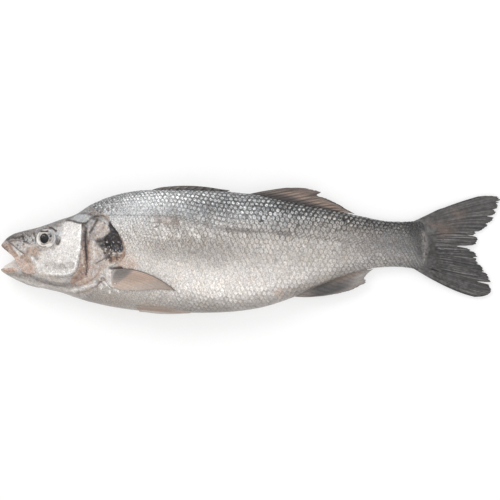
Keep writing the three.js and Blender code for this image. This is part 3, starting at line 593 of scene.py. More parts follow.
# Places with more than one kind of speck.
CHEEK = [(58, 24), (73, 24), (73, 0), (69, -20), (42, -20), (40, -3), (56, 4)]
TEMPLE = [(79, 38), (92, 36), (104, 28), (101, 24), (92, 28), (82, 29)]
COVER_MIDDLE = [(87, 12), (90, 24), (97, 24), (98, 14), (94, 9)]
HEAD_PAINT = [
    # jaws and throat
    (AREA, [(0, -14), (20, -20), (45, -29), (75, -36), (90, -40), (70, -46), (30, -36), (5, -26)],
     (177, 170, 165), 0.9, 3.0, 0.2),
    (LINE, [(3, -20.6), (10, -21.8), (18, -22.8), (26, -23.8)], (150, 142, 137), 0.85, 2.4, 0.1),
    (LINE, [(22.4, -21.6), (30, -24.4), (38.7, -27.6), (48, -30.4), (57, -31.2), (68, -31)],
     (138, 132, 129), 0.8, 3.0, 0.2),
    (LINE, [(34, -26.6), (42, -29.4), (52, -31.6), (62, -32)], (116, 110, 109), 0.45, 1.3, 0.45),
    (LINE, [(12, -24.5), (24, -29), (38, -32)], (206, 200, 194), 0.7, 2.6, 0.1),
    (LINE, [(40, -31.8), (54, -35), (68, -36.4)], (198, 191, 186), 0.6, 2.4, 0.1),
    (LINE, [(44, -34.8), (58, -38), (72, -40.6)], (152, 143, 138), 0.6, 1.8, 0.3),
    (LINE, [(2, -19.6), (12, -25.4), (26, -31.2), (54, -37.6)], (150, 142, 137), 0.6, 1.6, 0.4),
    (AREA, [(1.2, -17), (6, -16.2), (12.5, -16.2), (17, -17.6), (12, -20), (5, -20.4)],
     (200, 172, 158), 0.9, 0.7, 0.15),
    (LINE, [(4, -18.8), (8, -19), (13, -19)], (158, 128, 112), 0.8, 1.3, 0.2),
    (SPOT, [(0.8, -17.2)], (96, 84, 78), 0.9, 1.9, 0.0),
    # snout and forehead
    (AREA, [(1, 9), (10, 16), (30, 21), (55, 31), (62, 26), (46, 19), (32, 14), (20, 8), (10, 5)],
     (134, 128, 125), 0.95, 2.5, 0.15),
    (SPECKS, [(3, 6), (14, 15), (32, 20), (50, 26), (46, 20), (33, 17), (30, 8), (20, 8), (9, 6)],
     (70, 65, 64), 0.8, 1.5, 0.30),
    (SPECKS, [(6, 8), (16, 15), (34, 19), (50, 25), (46, 20), (33, 16), (30, 6), (20, 6)],
     (206, 200, 196), 0.7, 1.2, 0.19),
    (SPECKS, [(19, 15), (26, 16), (32, 12), (31, 7), (22, 6)], (58, 53, 52), 0.8, 1.2, 0.28),
    (LINE, [(3, 8), (6, 11.4), (12, 15), (24, 18.6), (40, 23.6), (60, 30.6), (78, 39.6)],
     (88, 84, 84), 0.8, 3.6, 0.3),
    (LINE, [(2.4, 9), (5.4, 12.8), (11.4, 16.8), (24, 21), (40, 26.4), (60, 33.6)],
     (92, 88, 88), 0.85, 3.4, 0.35),
    (AREA, [(10, 7), (20, 9), (30, 5), (33, 1), (27, -3), (20, -2), (13, 3)],
     (191, 184, 179), 0.9, 1.4, 0.3),
    (SPECKS, [(11, 6), (20, 8), (32, 6), (34, 1), (27, -2), (20, -1), (14, 3)],
     (142, 134, 130), 0.65, 1.3, 0.25),
    (LINE, [(4.6, 8.2), (8, 10), (11, 11.4), (16, 11.2), (20, 12.4)], (72, 66, 64), 0.85, 2.0, 0.3),
    (LINE, [(9, 7.6), (14, 8.6), (20, 8)], (104, 92, 86), 0.7, 1.1, 0.45),
    (LINE, [(8.4, 7.4), (12, 4.6), (16, 1.0), (20, -1.8), (23.4, -4.0)], (98, 87, 83), 0.85, 0.9, 0.2),
    (AREA, [(11.4, 3.6), (16, 0.6), (21, -3.4), (20.4, -6.2), (16.4, -4.4), (13, 0)],
     (216, 210, 205), 0.9, 0.7, 0.15),
    # nostrils
    (LINE, [(20.4, 14.4), (21.4, 11), (22.8, 8.2)], (66, 60, 60), 0.75, 1.3, 0.5),
    (LINE, [(22.4, 8), (24.5, 7), (27.6, 5.6)], (70, 64, 63), 0.75, 1.2, 0.5),
    (LINE, [(24, 14), (27.6, 12.6)], (84, 78, 76), 0.6, 1.0, 0.5),
    (LINE, [(28.6, 12), (30.2, 9.4), (29.6, 7.0)], (92, 86, 84), 0.5, 0.9, 0.7),
    (LINE, [(31, 15.6), (32.6, 11.6), (33.0, 6.4)], (88, 82, 81), 0.8, 1.2, 0.35),
    (LINE, [(24.4, 12), (26.6, 10.4), (27.4, 8.4)], (196, 190, 186), 0.7, 1.3, 0.2),
    (SPOT, [(22.2, 5.7)], (62, 58, 58), 0.95, 1.1, 0.0),
    (SPOT, [(16.6, 4.4)], (112, 96, 88), 0.85, 1.1, 0.0),
    # upper jaw
    (AREA, [(0.6, 4.4), (3, 7), (8.1, 6.8), (11.4, 3.4), (15.8, -3), (19.8, -8), (15.4, -10.4), (11, -6),
            (5, -0.6)],
     (176, 154, 141), 0.95, 0.6, 0.15),
    (SPECKS, [(3, 4), (8, 6), (14, -1), (19, -8), (15, -9), (8, -2)], (146, 125, 113), 0.7, 1.6, 0.2),
    (LINE, [(3.6, 2.0), (7, -1.0), (10.5, -4.6), (14, -8.8)], (212, 187, 175), 0.9, 1.2, 0.15),
    (LINE, [(1.2, 5.4), (2.2, 3.4), (4.6, 1.0), (7, -0.8)], (98, 76, 68), 0.85, 1.2, 0.15),
    (LINE, [(8.2, 5.2), (10.6, 2.2), (14.6, -3), (17.2, -6.4)], (140, 118, 106), 0.7, 1.0, 0.25),
    (AREA, [(2.6, 7.4), (4.6, 8.6), (7, 7.6), (5, 6.2)], (176, 168, 164), 0.7, 0.7, 0.1),
    (AREA, [(14, -7.6), (18.4, -5.2), (22.4, -4.2), (26.6, -5.8), (30, -9.8), (32.4, -15), (32.8, -19),
            (31.8, -20.6), (26, -21), (21.6, -19.4), (17.1, -13)], (203, 181, 170), 0.95, 0.7, 0.1),
    (AREA, [(19, -5.4), (22.4, -4.2), (26.6, -5.8), (29.4, -9.6), (28.4, -12), (24, -9.6), (20.6, -7.6)],
     (152, 134, 121), 0.75, 1.1, 0.35),
    (SPECKS, [(14, -8), (24, -9), (31, -14), (32, -20), (22, -19), (17, -13)],
     (186, 164, 151), 0.7, 2.0, 0.30),
    (SPOT, [(25.6, -10.2)], (158, 137, 122), 0.8, 2.4, 0.2),
    (LINE, [(27.4, -15.4), (29.6, -19.6)], (186, 160, 146), 0.7, 2.0, 0.3),
    (LINE, [(20, -19.4), (24, -21.6), (31, -21.6)], (140, 122, 113), 0.7, 1.0, 0.3),
    (LINE, [(30.4, -7.2), (33.2, -10.6), (35.2, -14.6), (36.2, -19)], (228, 223, 218), 0.85, 3.0, 0.15),
    # round the eye
    (AREA, [(29, -3.4), (33, -3), (36.4, -4.6), (36.4, -9.2), (33.6, -9.2), (30, -6)],
     (160, 152, 148), 0.85, 1.0, 0.25),
    (AREA, [(24, -1), (27, 2.4), (33, 3.2), (37.4, 0.8), (38.2, -3), (35, -5), (29, -4.4), (24, -3.4)],
     (170, 150, 138), 0.85, 1.0, 0.25),
    (SPECKS, [(26, 3), (34, 3.6), (38, 0.6), (37, -4), (31, -5), (26, -3)],
     (168, 145, 131), 0.75, 1.5, 0.25),
    (SPECKS, [(27, 3), (34, 3), (37, -2), (30, -4)], (226, 214, 207), 0.6, 1.1, 0.08),
    (LINE, [(36.0, -3.6), (36.8, -7.4)], (164, 134, 116), 0.6, 1.2, 0.2),
    # painted shade in the socket below the eye
    (LINE, [(32.4, 5.6), (34.4, 2.4), (38, -0.2), (43, -0.6), (48, 1.4)],
     (158, 150, 146), 0.75, 2.0, 0.2),
    # painted shade under the brow, over the eye
    (LINE, [(45.4, 19.9), (47.6, 19.5), (49.6, 18.4), (51.0, 17.4)], (52, 48, 48), 0.95, 1.6, 0.1),
    (LINE, [(51.6, 21.6), (55.6, 21.4), (57.4, 24)], (104, 97, 95), 0.7, 1.2, 0.3),
    (AREA, [(52, 22.4), (57, 24.6), (60, 25), (58, 19.6), (54.4, 17)], (168, 158, 153), 0.75, 1.4, 0.3),
    (AREA, [(51.6, 12.4), (54.4, 13), (56, 9.6), (55.6, 5.6), (52, 5.6), (51, 8.6)],
     (104, 98, 97), 0.8, 1.0, 0.5),
    # cheek
    (AREA, [(33, -7), (40, -2), (48, 0), (46, -12), (42, -21), (36, -20), (33.4, -13)],
     (222, 216, 211), 0.8, 2.6, 0.25),
    (AREA, CHEEK_PLATE, (226, 221, 217), 1.0, 1.0, 0.0),
    (AREA, [(57, 24), (73, 24), (73, 2), (69, -12), (60, -12), (58, 2), (54, 6)],
     (226, 223, 220), 0.75, 4.0, 0.5),
    (AREA, [(51.2, 9.4), (54.2, 9.8), (55.8, 8.4), (55.0, 5.4), (52.6, 4.4), (51.2, 6.2)],
     (88, 83, 82), 0.85, 0.8, 0.45),
    (AREA, [(31, -5.4), (35.2, -4.8), (36.2, -8.4), (33.4, -8.8)], (152, 144, 140), 0.8, 1.0, 0.2),
    (AREA, [(36.6, -3), (48, -2), (46, -10), (40, -12), (36, -9)], (206, 199, 194), 0.75, 2.0, 0.4),
    (AREA, [(40, -4), (60, -8), (72, -10), (68, -19), (45, -20), (38, -14)],
     (222, 217, 212), 0.8, 3.0, 0.5),
    (AREA, [(43, -10.6), (56, -12), (68, -10.6), (67, -15.8), (54, -17), (43, -15.6)],
     (176, 169, 165), 0.8, 1.6, 0.6),
    (SPECKS, [(42, -9), (56, -10), (69, -9), (68, -17), (54, -18.4), (42, -16.4)],
     (160, 154, 151), 0.6, 1.4, 0.22),
    (SPECKS, CHEEK, (192, 192, 193), 0.5, 2.0, 0.15),
    (SPECKS, CHEEK, (204, 198, 193), 0.45, 2.4, 0.24),
    (SPECKS, [(58, 23), (73, 23), (73, 0), (68, -19), (44, -20), (40, -4), (56, 4)],
     (247, 245, 242), 0.6, 1.9, 0.22),
    (LINE, [(74, 22.6), (74, 16), (73, 2), (70.3, -9), (68.4, -16.4), (63.6, -20.6), (52, -21.6),
            (44, -20.8)],
     (250, 248, 245), 0.85, 1.2, 0.0),
    # painted shadow behind the cheek plate's raised rear edge
    (LINE, [(76, 23.4), (75.9, 14), (75, 1), (72.6, -9.6), (70.8, -17.4), (65.6, -23.2)],
     (104, 90, 84), 0.7, 1.2, 0.25),
    (LINE, [(65.6, -23.4), (54, -24.4), (46, -23.6)], (150, 140, 135), 0.6, 1.3, 0.35),
    # between the cheek and the gill cover
    (AREA, [(75.8, 8), (79, 6), (80, -10), (79, -20), (74, -27.4), (66, -31), (64.6, -26.4), (71, -19),
            (74, -8)],
     (154, 130, 118), 0.9, 1.0, 0.15),
    (SPECKS, [(76, 8), (80, 4), (80, -16), (73, -27), (66, -29), (72, -18)],
     (110, 91, 84), 0.7, 1.5, 0.22),
    (SPECKS, [(75, 2), (78, 0), (79, -20), (74, -25), (73, -16), (75, -8)],
     (232, 222, 215), 0.75, 1.1, 0.12),
    (LINE, [(80.8, 11), (82, -2), (82, -14), (79.6, -23)], (168, 142, 130), 0.85, 3.0, 0.25),
    (AREA, [(76, 24), (80, 24), (81.4, 18), (79.6, 10), (79, 2), (77, 4), (76, 14)],
     (112, 106, 103), 0.85, 1.2, 0.35),
    (LINE, [(80.6, 6), (80.8, -4), (80.8, -14), (80, -21)], (160, 132, 117), 0.7, 2.2, 0.3),
    # painted shadow in the slot behind the cheek, in two dark lines
    (LINE, [(77.8, 17), (78.2, 8), (78.8, -2), (79.2, -8)], (56, 51, 51), 0.95, 1.9, 0.25),
    (LINE, [(79.2, -6), (79.6, -12), (79.8, -18), (79, -22)], (86, 76, 72), 0.85, 1.5, 0.4),
    (LINE, [(76.0, 12), (75.8, 5), (76.6, -1)], (106, 98, 95), 0.6, 0.9, 0.5),
    (LINE, [(79.9, 11), (80.4, 3), (79.9, -3)], (88, 80, 78), 0.6, 0.9, 0.6),
    (LINE, [(75.0, -1), (75.6, -7), (75.4, -12)], (226, 216, 209), 0.7, 1.2, 0.5),
    (LINE, [(75.6, 22), (78.6, 18.6), (78.2, 13)], (78, 72, 71), 0.85, 1.3, 0.2),
    (LINE, [(80.2, 22), (83.4, 17), (82.2, 10), (80.6, 6)], (84, 78, 77), 0.8, 1.2, 0.3),
    # temple and nape
    (AREA, [(79, 38), (92, 37), (102, 30), (107, 22), (101, 23.6), (94, 27), (84, 28)],
     (128, 120, 116), 0.85, 2.0, 0.3),
    (SPECKS, TEMPLE, (92, 86, 84), 0.7, 1.6, 0.25),
    (SPECKS, TEMPLE, (190, 184, 180), 0.6, 1.3, 0.14),
    (AREA, [(93, 34.6), (98.5, 34), (101.5, 30), (100, 27.6), (95, 30)], (184, 171, 162), 0.8, 1.0, 0.3),
    (SPECKS, [(84, 38), (94, 36), (103, 28), (99, 26), (90, 31)], (84, 77, 74), 0.7, 1.1, 0.2),
    (AREA, [(66.4, 27.6), (71, 31.4), (80, 31.6), (82, 28.2), (77, 25.2), (70, 25.8)],
     (178, 180, 182), 0.95, 0.8, 0.25),
    (LINE, [(61, 28.4), (65, 30), (70, 32.6), (80, 32.6), (84, 30.6)], (92, 88, 87), 0.75, 1.5, 0.3),
    (LINE, [(60, 26.4), (66, 26.2), (72, 24.4), (77, 23.6), (81, 26.3), (85, 29.4), (90, 30)],
     (66, 61, 60), 0.9, 1.4, 0.1),
    # gill cover
    (AREA, [(80, 21), (84, 26), (91, 26), (94, 20), (90, 12), (83, 7)], (158, 150, 146), 0.9, 1.2, 0.25),
    (SPECKS, [(80, 22), (86, 27), (93, 25), (92, 13), (84, 7)], (118, 111, 108), 0.7, 1.6, 0.25),
    (LINE, [(85, 27.6), (90.6, 26.8), (94.4, 22.4), (92.8, 17.4)], (74, 68, 67), 0.8, 1.5, 0.4),
    (LINE, [(91.4, 15.4), (88.7, 13), (86, 14.6)], (96, 88, 86), 0.6, 1.3, 0.5),
    (AREA, [(80.6, 26), (86, 27), (87, 23), (84, 17), (81, 17)], (174, 169, 166), 0.7, 1.2, 0.4),
    (LINE, [(88.6, 26), (86.4, 22.8), (84.8, 19.2), (82.4, 15.4)], (68, 62, 61), 0.9, 1.7, 0.25),
    (AREA, [(88, 21), (91.6, 24.8), (96, 23.4), (98.4, 19), (97.4, 13.6), (95.4, 10.4), (90, 10),
            (87, 14)],
     (184, 173, 166), 0.9, 1.5, 0.35),
    (SPECKS, COVER_MIDDLE, (164, 141, 129), 0.75, 1.3, 0.24),
    (SPECKS, COVER_MIDDLE, (232, 227, 223), 0.6, 1.2, 0.15),
    (AREA, [(83, 8), (88, 3), (96, 1), (102, -3), (99.6, -9), (92, -13.6), (84, -15), (82.4, -4)],
     (192, 182, 175), 0.9, 1.4, 0.3),
    (SPECKS, [(84, 6), (96, 0), (101, -8), (92, -13), (84, -14)], (168, 150, 140), 0.6, 1.5, 0.22),
    (LINE, [(85.4, 8), (85.8, 0), (86.6, -8)], (228, 220, 214), 0.75, 1.4, 0.35),
    (LINE, [(88.4, 0), (91, -6), (95, -10)], (176, 160, 150), 0.5, 1.6, 0.4),
    (AREA, [(88, 9.4), (92, 11), (98, 11.6), (101, 4), (98, -1.8), (93.4, 1), (89.4, 4.8)],
     (84, 80, 78), 0.95, 1.5, 0.4),
    (AREA, DARK_PATCH, (62, 61, 63), 1.0, 1.1, 0.1),
    (SPECKS, [(94, 24), (97, 25), (99.4, 20), (98.4, 10), (95, 10), (96.6, 17)],
     (112, 105, 101), 0.8, 1.2, 0.3),
    (AREA, [(88.6, 8.6), (94, 10), (99, 9), (101, 2), (98, -1.6), (92.6, 1.6), (89, 4.4)],
     (62, 58, 57), 0.4, 1.4, 0.6),
    (LINE, [(89.4, 7.4), (94, 8.8), (99, 9.6)], (48, 45, 45), 0.75, 1.3, 0.5),
    (LINE, [(92.4, 4), (96.4, 4.8), (101, 5.2)], (46, 43, 43), 0.8, 1.5, 0.4),
    (LINE, [(90, 5.8), (95, 6.8)], (132, 126, 122), 0.6, 1.0, 0.5),
    (SPECKS, [(88, 9), (97, 10), (101, 2), (97, -2), (90, 2)], (158, 151, 147), 0.8, 1.0, 0.18),
    (AREA, [(95, 0.4), (101, -1), (108, -2), (107, -6), (102, -9), (97, -8.6)],
     (100, 88, 82), 0.85, 1.0, 0.3),
    # painted glints: white specks over the dark patch
    (SPECKS, [(95, 5), (99, 9), (110, 6), (111, -3), (102, -6), (94, -1)],
     (214, 208, 204), 0.95, 1.0, 0.18),
    (SPECKS, [(97, 20), (104, 21), (111, 6), (110, -1), (101, 2), (100, 12)],
     (106, 102, 102), 0.8, 1.3, 0.2),
    (SPOT, [(106.2, 3.4)], (118, 114, 114), 0.8, 2.2, 0.3),
    (LINE, [(103.4, 2.2), (106, 0.8), (108.6, 0.6)], (128, 124, 124), 0.6, 1.2, 0.4),
    (SPOT, [(99.6, 16.6)], (142, 142, 144), 0.7, 1.9, 0.2),
    (SPECKS, [(90, 4), (98, 2), (106, -2), (104, -8), (94, -6)], (78, 70, 67), 0.75, 1.5, 0.22),
    (AREA, [(102, -6), (108, -4), (112.8, -0.6), (113.8, -5), (110, -9.6), (103, -11.6), (97.6, -10.4)],
     (148, 119, 102), 0.85, 1.2, 0.35),
    (SPECKS, [(96, 0), (108, -3), (112, -6), (103, -11), (96, -9)], (66, 60, 58), 0.8, 1.3, 0.26),
    (SPECKS, [(98, -3), (112, -2), (112, -9), (103, -12), (96, -10)], (228, 219, 213), 0.85, 1.1, 0.17),
    (LINE, [(103, -3.4), (107, -3.0), (111, -2.4)], (222, 214, 208), 0.7, 1.1, 0.6),
    (LINE, [(111.4, 10), (113.6, 3), (113.4, -3), (110.6, -7.6)], (150, 118, 102), 0.6, 1.4, 0.3),
    (LINE, [(88, -11.8), (92, -9.2), (96.3, -7.6), (99, -5)], (96, 86, 82), 0.85, 1.0, 0.2),
    # under the gill cover
    (AREA, [(82, -15), (92, -14), (97.6, -11.6), (96, -19), (90, -27), (82, -31.4), (74.4, -34.4),
            (80, -24)],
     (194, 180, 171), 0.9, 1.4, 0.3),
    (SPECKS, [(82, -14), (95, -12), (94, -20), (84, -29), (78, -30), (81, -22)],
     (174, 150, 138), 0.65, 1.7, 0.25),
    (SPECKS, [(80, -12), (88, -10), (92, -18), (84, -26), (80, -20)], (240, 234, 229), 0.7, 1.1, 0.14),
    (AREA, [(70.4, -30), (76, -26.6), (82.4, -24.6), (83.4, -27), (78, -30.4), (72, -32.4)],
     (190, 165, 152), 0.9, 0.8, 0.25),
    (LINE, [(69, -29), (74, -26), (81, -23.4)], (150, 126, 114), 0.6, 1.1, 0.3),
    (LINE, [(66, -32.0), (76, -30.8), (84, -26.8), (89, -21.6), (92, -16)],
     (146, 126, 116), 0.6, 1.3, 0.3),
    (LINE, [(70, -38.6), (80, -36.4), (88, -31.6), (94.4, -25.4)], (142, 128, 120), 0.7, 1.6, 0.3),
    (LINE, [(66, -36), (74, -34.5), (83, -31.6), (89.3, -27.4), (93.5, -22.8), (97, -17)],
     (228, 222, 217), 0.9, 2.0, 0.1),
    (AREA, [(88, -28), (96, -22), (101, -25), (103, -32), (99, -36), (90, -35)],
     (132, 120, 112), 0.8, 2.0, 0.25),
    (SPECKS, [(89, -29), (96, -22), (104, -30), (100, -36), (88, -35)], (240, 236, 233), 0.85, 1.0, 0.23),
    # root of the pectoral fin
    (AREA, [(97.6, -17.4), (103, -18.2), (106, -25), (104.6, -33), (99, -31), (96.6, -24.6)],
     (226, 219, 214), 0.9, 1.0, 0.2),
    (AREA, [(102.0, -17.6), (112, -18), (115.4, -22.4), (112, -29), (106, -31)],
     (122, 117, 115), 0.9, 1.2, 0.3),
    # painted shadow on the body above the pectoral fin's root
    (LINE, [(101.2, -16.4), (104.6, -15.9), (108, -15.8), (111, -16.3)], (66, 61, 59), 0.85, 1.9, 0.3),
]


def paint_over(looks, points, marks):
    """Lays painted marks over colours, each edge a little wandering and broken up."""
    s = points[:, 0] - LIP_X + 0.5 * noise(points, 3.4, 31) + 0.4 * noise(points, 1.4, 33)
    y = points[:, 1] + 0.5 * noise(points, 3.4, 32) + 0.4 * noise(points, 1.4, 34)
    for number, (kind, shape, colour, strength, size, broken) in enumerate(marks):
        if kind == AREA:
            mask = area_mark(s, y, shape, size)
        elif kind == LINE:
            mask = line_mark(s, y, shape, size)
        elif kind == SPECKS:
            mask = area_mark(s, y, shape, SPECKS_EDGE)
            chosen = mask > 0
            rarity = 0.62 - 1.1 * broken
            mask[chosen] *= step(rarity, rarity + 0.2, noise(points[chosen], size, 140 + number))
        else:
            mask = spot_mark(s, y, shape[0], (size, size))
        if broken > 0 and kind != SPECKS:
            chosen = mask > 0
            grain = mottle(points[chosen], 1.7, 40 + number)
            mask[chosen] *= 1 - broken * step(-0.25, 0.45, grain)
        looks = blend_looks(looks, colour, mask * strength)
    return looks


def skin_looks(points):
    """Colours of the bare skin: painted head, and behind it the dark net between scales, partly pigment
    and partly painted shade.
    """
    s, y = points[:, 0] - LIP_X, points[:, 1]
    looks = flank_looks(points, np.full(len(points), -0.75))
    looks = paint_over(looks, points, HEAD_PAINT)
    on_head = step(HEAD_END + 2, HEAD_END - 8, s)
    calm = np.maximum(area_mark(s, y, CHEEK_PLATE, 2), area_mark(s, y, THROAT, 3))
    grain = 0.065 * mottle(points, 2.2, 13) + (0.11 - 0.05 * calm) * noise(points, 1.25, 14)
    hue = (on_head * (1 - 0.6 * calm) * noise(points, 2.0, 15))[:, None] * np.array([5.0, 0.0, -6.0])
    return looks * (1 + on_head * grain)[:, None] + hue


# ---- Body --------------------------------------------------------------------

# The skin's points: from ring to ring on the head, the trunk and the tail's root, and round a ring.
HEAD_SPACING, TRUNK_SPACING, ROOT_SPACING = 0.66, 2.5, 1.2
AROUND = 292
RIM_OF_MOUTH = 55        # edges sharper than this, in degrees, stay crisp
# The s at which the scales begin, at each height y.
SCALES_FROM = curve_through([
    (-60, 60), (-46, 71), (-41, 80), (-36, 88), (-31, 92), (-28.5, 99), (-27, 108), (-24, 113),
    (-17, 113), (-8, 110.5), (2, 112.6), (16, 107.6), (27, 100.5), (31.5, 98.5), (35, 92), (39, 80),
    (50, 68)])

# The mouth's outline seen from the side: on the far cheek, deep between the jaws, and
# on the near cheek, where the lower lip hangs open and shows the jaw's pale inside.
MOUTH_FAR = [
    (-4, 5.5), (4.5, 0.6), (9.5, -3.4), (14.2, -6.6), (13.4, -8.2), (11.4, -9.4), (7.6, -11.5),
    (3.2, -14.1), (-4, -18.4)]
MOUTH_DEEP = [
    (-4, 5.5), (4.5, 0.6), (10.5, -3.6), (20, -8.2), (27, -11.4), (20, -14), (10, -15.4), (3.4, -16),
    (-4, -18.4)]
MOUTH_NEAR = [
    (-4, 5.5), (4.5, 0.6), (9.5, -3.4), (13.6, -7.2), (16.6, -12.4), (17.4, -15.4), (9, -16.2),
    (2, -16.9), (-4, -18.4)]
# The height over the table of each outline, from below the fish to above it.
MOUTH_LAYERS = [
    (-8, MOUTH_FAR), (15, MOUTH_FAR), (19, MOUTH_DEEP), (24, MOUTH_DEEP), (30, MOUTH_NEAR),
    (70, MOUTH_NEAR)]

# Where the right pectoral fin lies pressed under the flank: the skin below BED_TOP is lifted to
# BED_LIFT less BED_DEPTH there, softly round its edge.
FIN_BED = [(104, -15), (130, -13.5), (163, -36.5), (130, -37), (104, -33)]
BED_DEPTH, BED_LIFT, BED_TOP = 3, 5.3, 12


def all_stations():
    """Where the skin has a ring of points: close on the head, wide on the trunk."""
    snout = [FIRST_S, 0.2, 0.45]
    head = np.arange(0.8, HEAD_END + 4, HEAD_SPACING)
    trunk = np.arange(HEAD_END + 4 + TRUNK_SPACING, TAIL_ROOT, TRUNK_SPACING)
    tail_root = np.arange(TAIL_ROOT, BODY_LAST + 0.1, ROOT_SPACING)
    return np.concatenate([snout, head, trunk, tail_root])


def fin_bed(points, skin=None):
    """Lifts the skin, or what lies on it, over the right pectoral fin, which is pressed under the flank."""
    s, y = points[..., 0] - LIP_X, points[..., 1]
    bed = area_mark(s.ravel(), y.ravel(), FIN_BED, 2.5).reshape(s.shape)
    height = (points if skin is None else skin)[..., 2]
    lifted = np.where(height < BED_TOP, np.maximum(height, BED_LIFT * bed - BED_DEPTH), height)
    points[..., 2] = points[..., 2] + lifted - height
    return points


def outward(points, faces):
    """The faces turned so that the closed surface's normals point out."""
    corners = points[faces]
    fan = np.einsum("ij,ij->i", corners[:, 0], np.cross(corners[:, 1], corners[:, 2])).sum()
    fan += np.einsum("ij,ij->i", corners[:, 0], np.cross(corners[:, 2], corners[:, 3])).sum()
    return faces if fan > 0 else faces[:, ::-1]


def tube(rings):
    """Points and polygons of a closed tube through rings of points, with flat ends."""
    count, around = rings.shape[:2]
    points = rings.reshape(-1, 3)
    quads = grid_quads(count, around, closed=True)
    turned = outward(points, quads)
    first, last = np.arange(around)[None, :], (count - 1) * around + np.arange(around)[None, :]
    caps = (first[:, ::-1], last) if turned is quads else (first, last[:, ::-1])
    return points, [turned, *caps]


def mouth_cutter():
    """The space between the jaws, as a solid that is cut from the body."""
    levels = np.array([level for level, _ in MOUTH_LAYERS], float)
    outlines = np.array([smooth_path(outline, closed=True, per=4) for _, outline in MOUTH_LAYERS])
    rings = []
    # Rings are close together where the outline changes.
    for level in np.concatenate([[-8, 5], np.arange(14, 32), [45, 70]]):
        i = min(np.searchsorted(levels, level, side="right") - 1, len(levels) - 2)
        share = step(levels[i], levels[i + 1], level)
        outline = (1 - share) * outlines[i] + share * outlines[i + 1]
        heights = np.full(len(outline), float(level))
        rings.append(np.column_stack([LIP_X + outline[:, 0], outline[:, 1], heights]))
    rings = np.array(rings)
    rings[..., 1] += 0.25 * noise(rings.reshape(-1, 3), 3, 51).reshape(rings.shape[:2])
    points, polygons = tube(rings)
    return new_mesh("mouth_cutter", points, polygons)


def body_mesh(skin, lining):
    """The skin from the lips to inside the tail fin, with the mouth cut open."""
    s = all_stations()
    half = AROUND // 2
    share = np.linspace(0, 1, half + 1)
    left = look_up(ANGLE_OF_SHARE, s[:, None], share[None, :-1], 0, 1)
    right = np.pi - look_up(ANGLE_OF_SHARE, s[:, None], share[None, :0:-1], 0, 1)
    angles = np.concatenate([left, right], axis=1)
    stations = np.broadcast_to(s[:, None], angles.shape)
    smooth = skin_point(stations, angles)
    on_head = s < HEAD_END + 10
    relief = np.zeros(angles.shape)
    relief[on_head] = head_relief(smooth[on_head].reshape(-1, 3)).reshape(on_head.sum(), -1)
    rings = skin_point(stations, angles, relief)
    rings = off_table(fin_bed(rings))
    points, polygons = tube(rings)
    mesh = new_mesh("body_skin", points, polygons)

    body = add_object("uncut_body", mesh)
    cutter = add_object("mouth_cutter", mouth_cutter())
    cutter.data.materials.append(lining)
    mesh.materials.append(skin)
    cut = body.modifiers.new("mouth", "BOOLEAN")
    cut.operation, cut.object, cut.solver, cut.material_mode = "DIFFERENCE", cutter, "EXACT", "TRANSFER"
    depsgraph = bpy.context.evaluated_depsgraph_get()
    opened = bpy.data.meshes.new_from_object(body.evaluated_get(depsgraph))
    opened.name = "body_skin"
    for part in (body, cutter):
        leftover = part.data
        bpy.data.objects.remove(part)
        bpy.data.meshes.remove(leftover)
    opened.set_sharp_from_angle(angle=np.radians(RIM_OF_MOUTH))
    return opened


def vertices_of(mesh):
    """A mesh's points, in millimetres."""
    points = np.empty(len(mesh.vertices) * 3, np.float32)
    mesh.vertices.foreach_get("co", points)
    return points.reshape(-1, 3).astype(float) / MM


# ---- Scales ------------------------------------------------------------------

# From row to row, and from scale to scale in a row, at places s.
ROW_SPACING = curve_through([
    (70, 2.4), (96, 2.75), (120, 3.35), (160, 4.1), (250, 4.3), (297, 3.95), (324, 3.5), (351, 3.15),
    (372, 2.7), (384, 2.3)])
SCALE_PITCH = curve_through([
    (60, 2.25), (95, 2.5), (130, 3.3), (165, 3.9), (250, 4.25), (330, 4.2), (354, 3.9), (370, 3.0),
    (384, 2.2)])
FIRST_SCALE, SCALES_TO = 60.0, 382
ROWS = range(-40, 41)    # row 0 follows the lateral line
# A scale's grid: points from its hidden front to its free rear edge, and across it.
GRID = 7
SCALE_FRONT, SCALE_LENGTH = -0.95, 1.62    # in shares of the pitch, from its spot
RIM_ANGLE = 40           # edges sharper than this, in degrees, stay crisp

# Where single scales are made bright: near the rubbed patch a painted glint on worn scales, behind
# # the gill cover white specks. For each: the place, their share, and how light they are.
GLINTS_AND_SPECKS = [
    ([(136, 24), (150, 29), (168, 24), (186, 18), (184, 10), (166, 6), (144, 10)], 0.15, 212),
    ([(88, -27), (97, -21), (106, -26), (107, -34), (98, -37), (88, -35)], 0.50, 240),
]


def scale_spots(random):
    """Row number, s and distance from the belly line of every scale of one flank."""
    s_list = [FIRST_SCALE]
    while s_list[-1] < SCALES_TO:
        s_list.append(s_list[-1] + float(SCALE_PITCH(s_list[-1])))
    s_row = np.array(s_list)
    spots = []
    for row in ROWS:
        s = s_row + (0.5 * SCALE_PITCH(s_row) if row % 2 else 0)
        s = s + random.normal(0, 0.07, len(s)) * SCALE_PITCH(s)
        lateral = look_up(SHARE_OF_ANGLE, s, angle_at(s, LATERAL_LINE(s)), -np.pi / 2, np.pi / 2)
        away = lateral * flank_length(s) + row * ROW_SPACING(s) + random.normal(0, 0.2, len(s))
        inside = (away > 0) & (away < flank_length(s)) & (s < SCALES_TO)
        spots.append(np.column_stack([np.full(inside.sum(), row), s[inside], away[inside]]))
    return np.concatenate(spots)


def scale_outline():
    """A scale's grid, front to rear (u), in shares of the pitch (a) and of the row spacing (b)."""
    u = np.linspace(0, 1, GRID)
    along = SCALE_FRONT + SCALE_LENGTH * u
    breadth = 0.98 * np.sqrt(np.clip(1 - ((along + 0.25) / 0.96) ** 2, 0.03, 1))
    breadth[0] = 0.55
    b = breadth[:, None] * np.linspace(-1, 1, GRID)[None, :]
    off_middle = b / breadth.max()
    u = u[:, None]
    # The rear edge is a round arc, so the middle columns reach further back.
    a = along[:, None] - 0.32 * u**2 * off_middle**2
    return u, a, b, off_middle


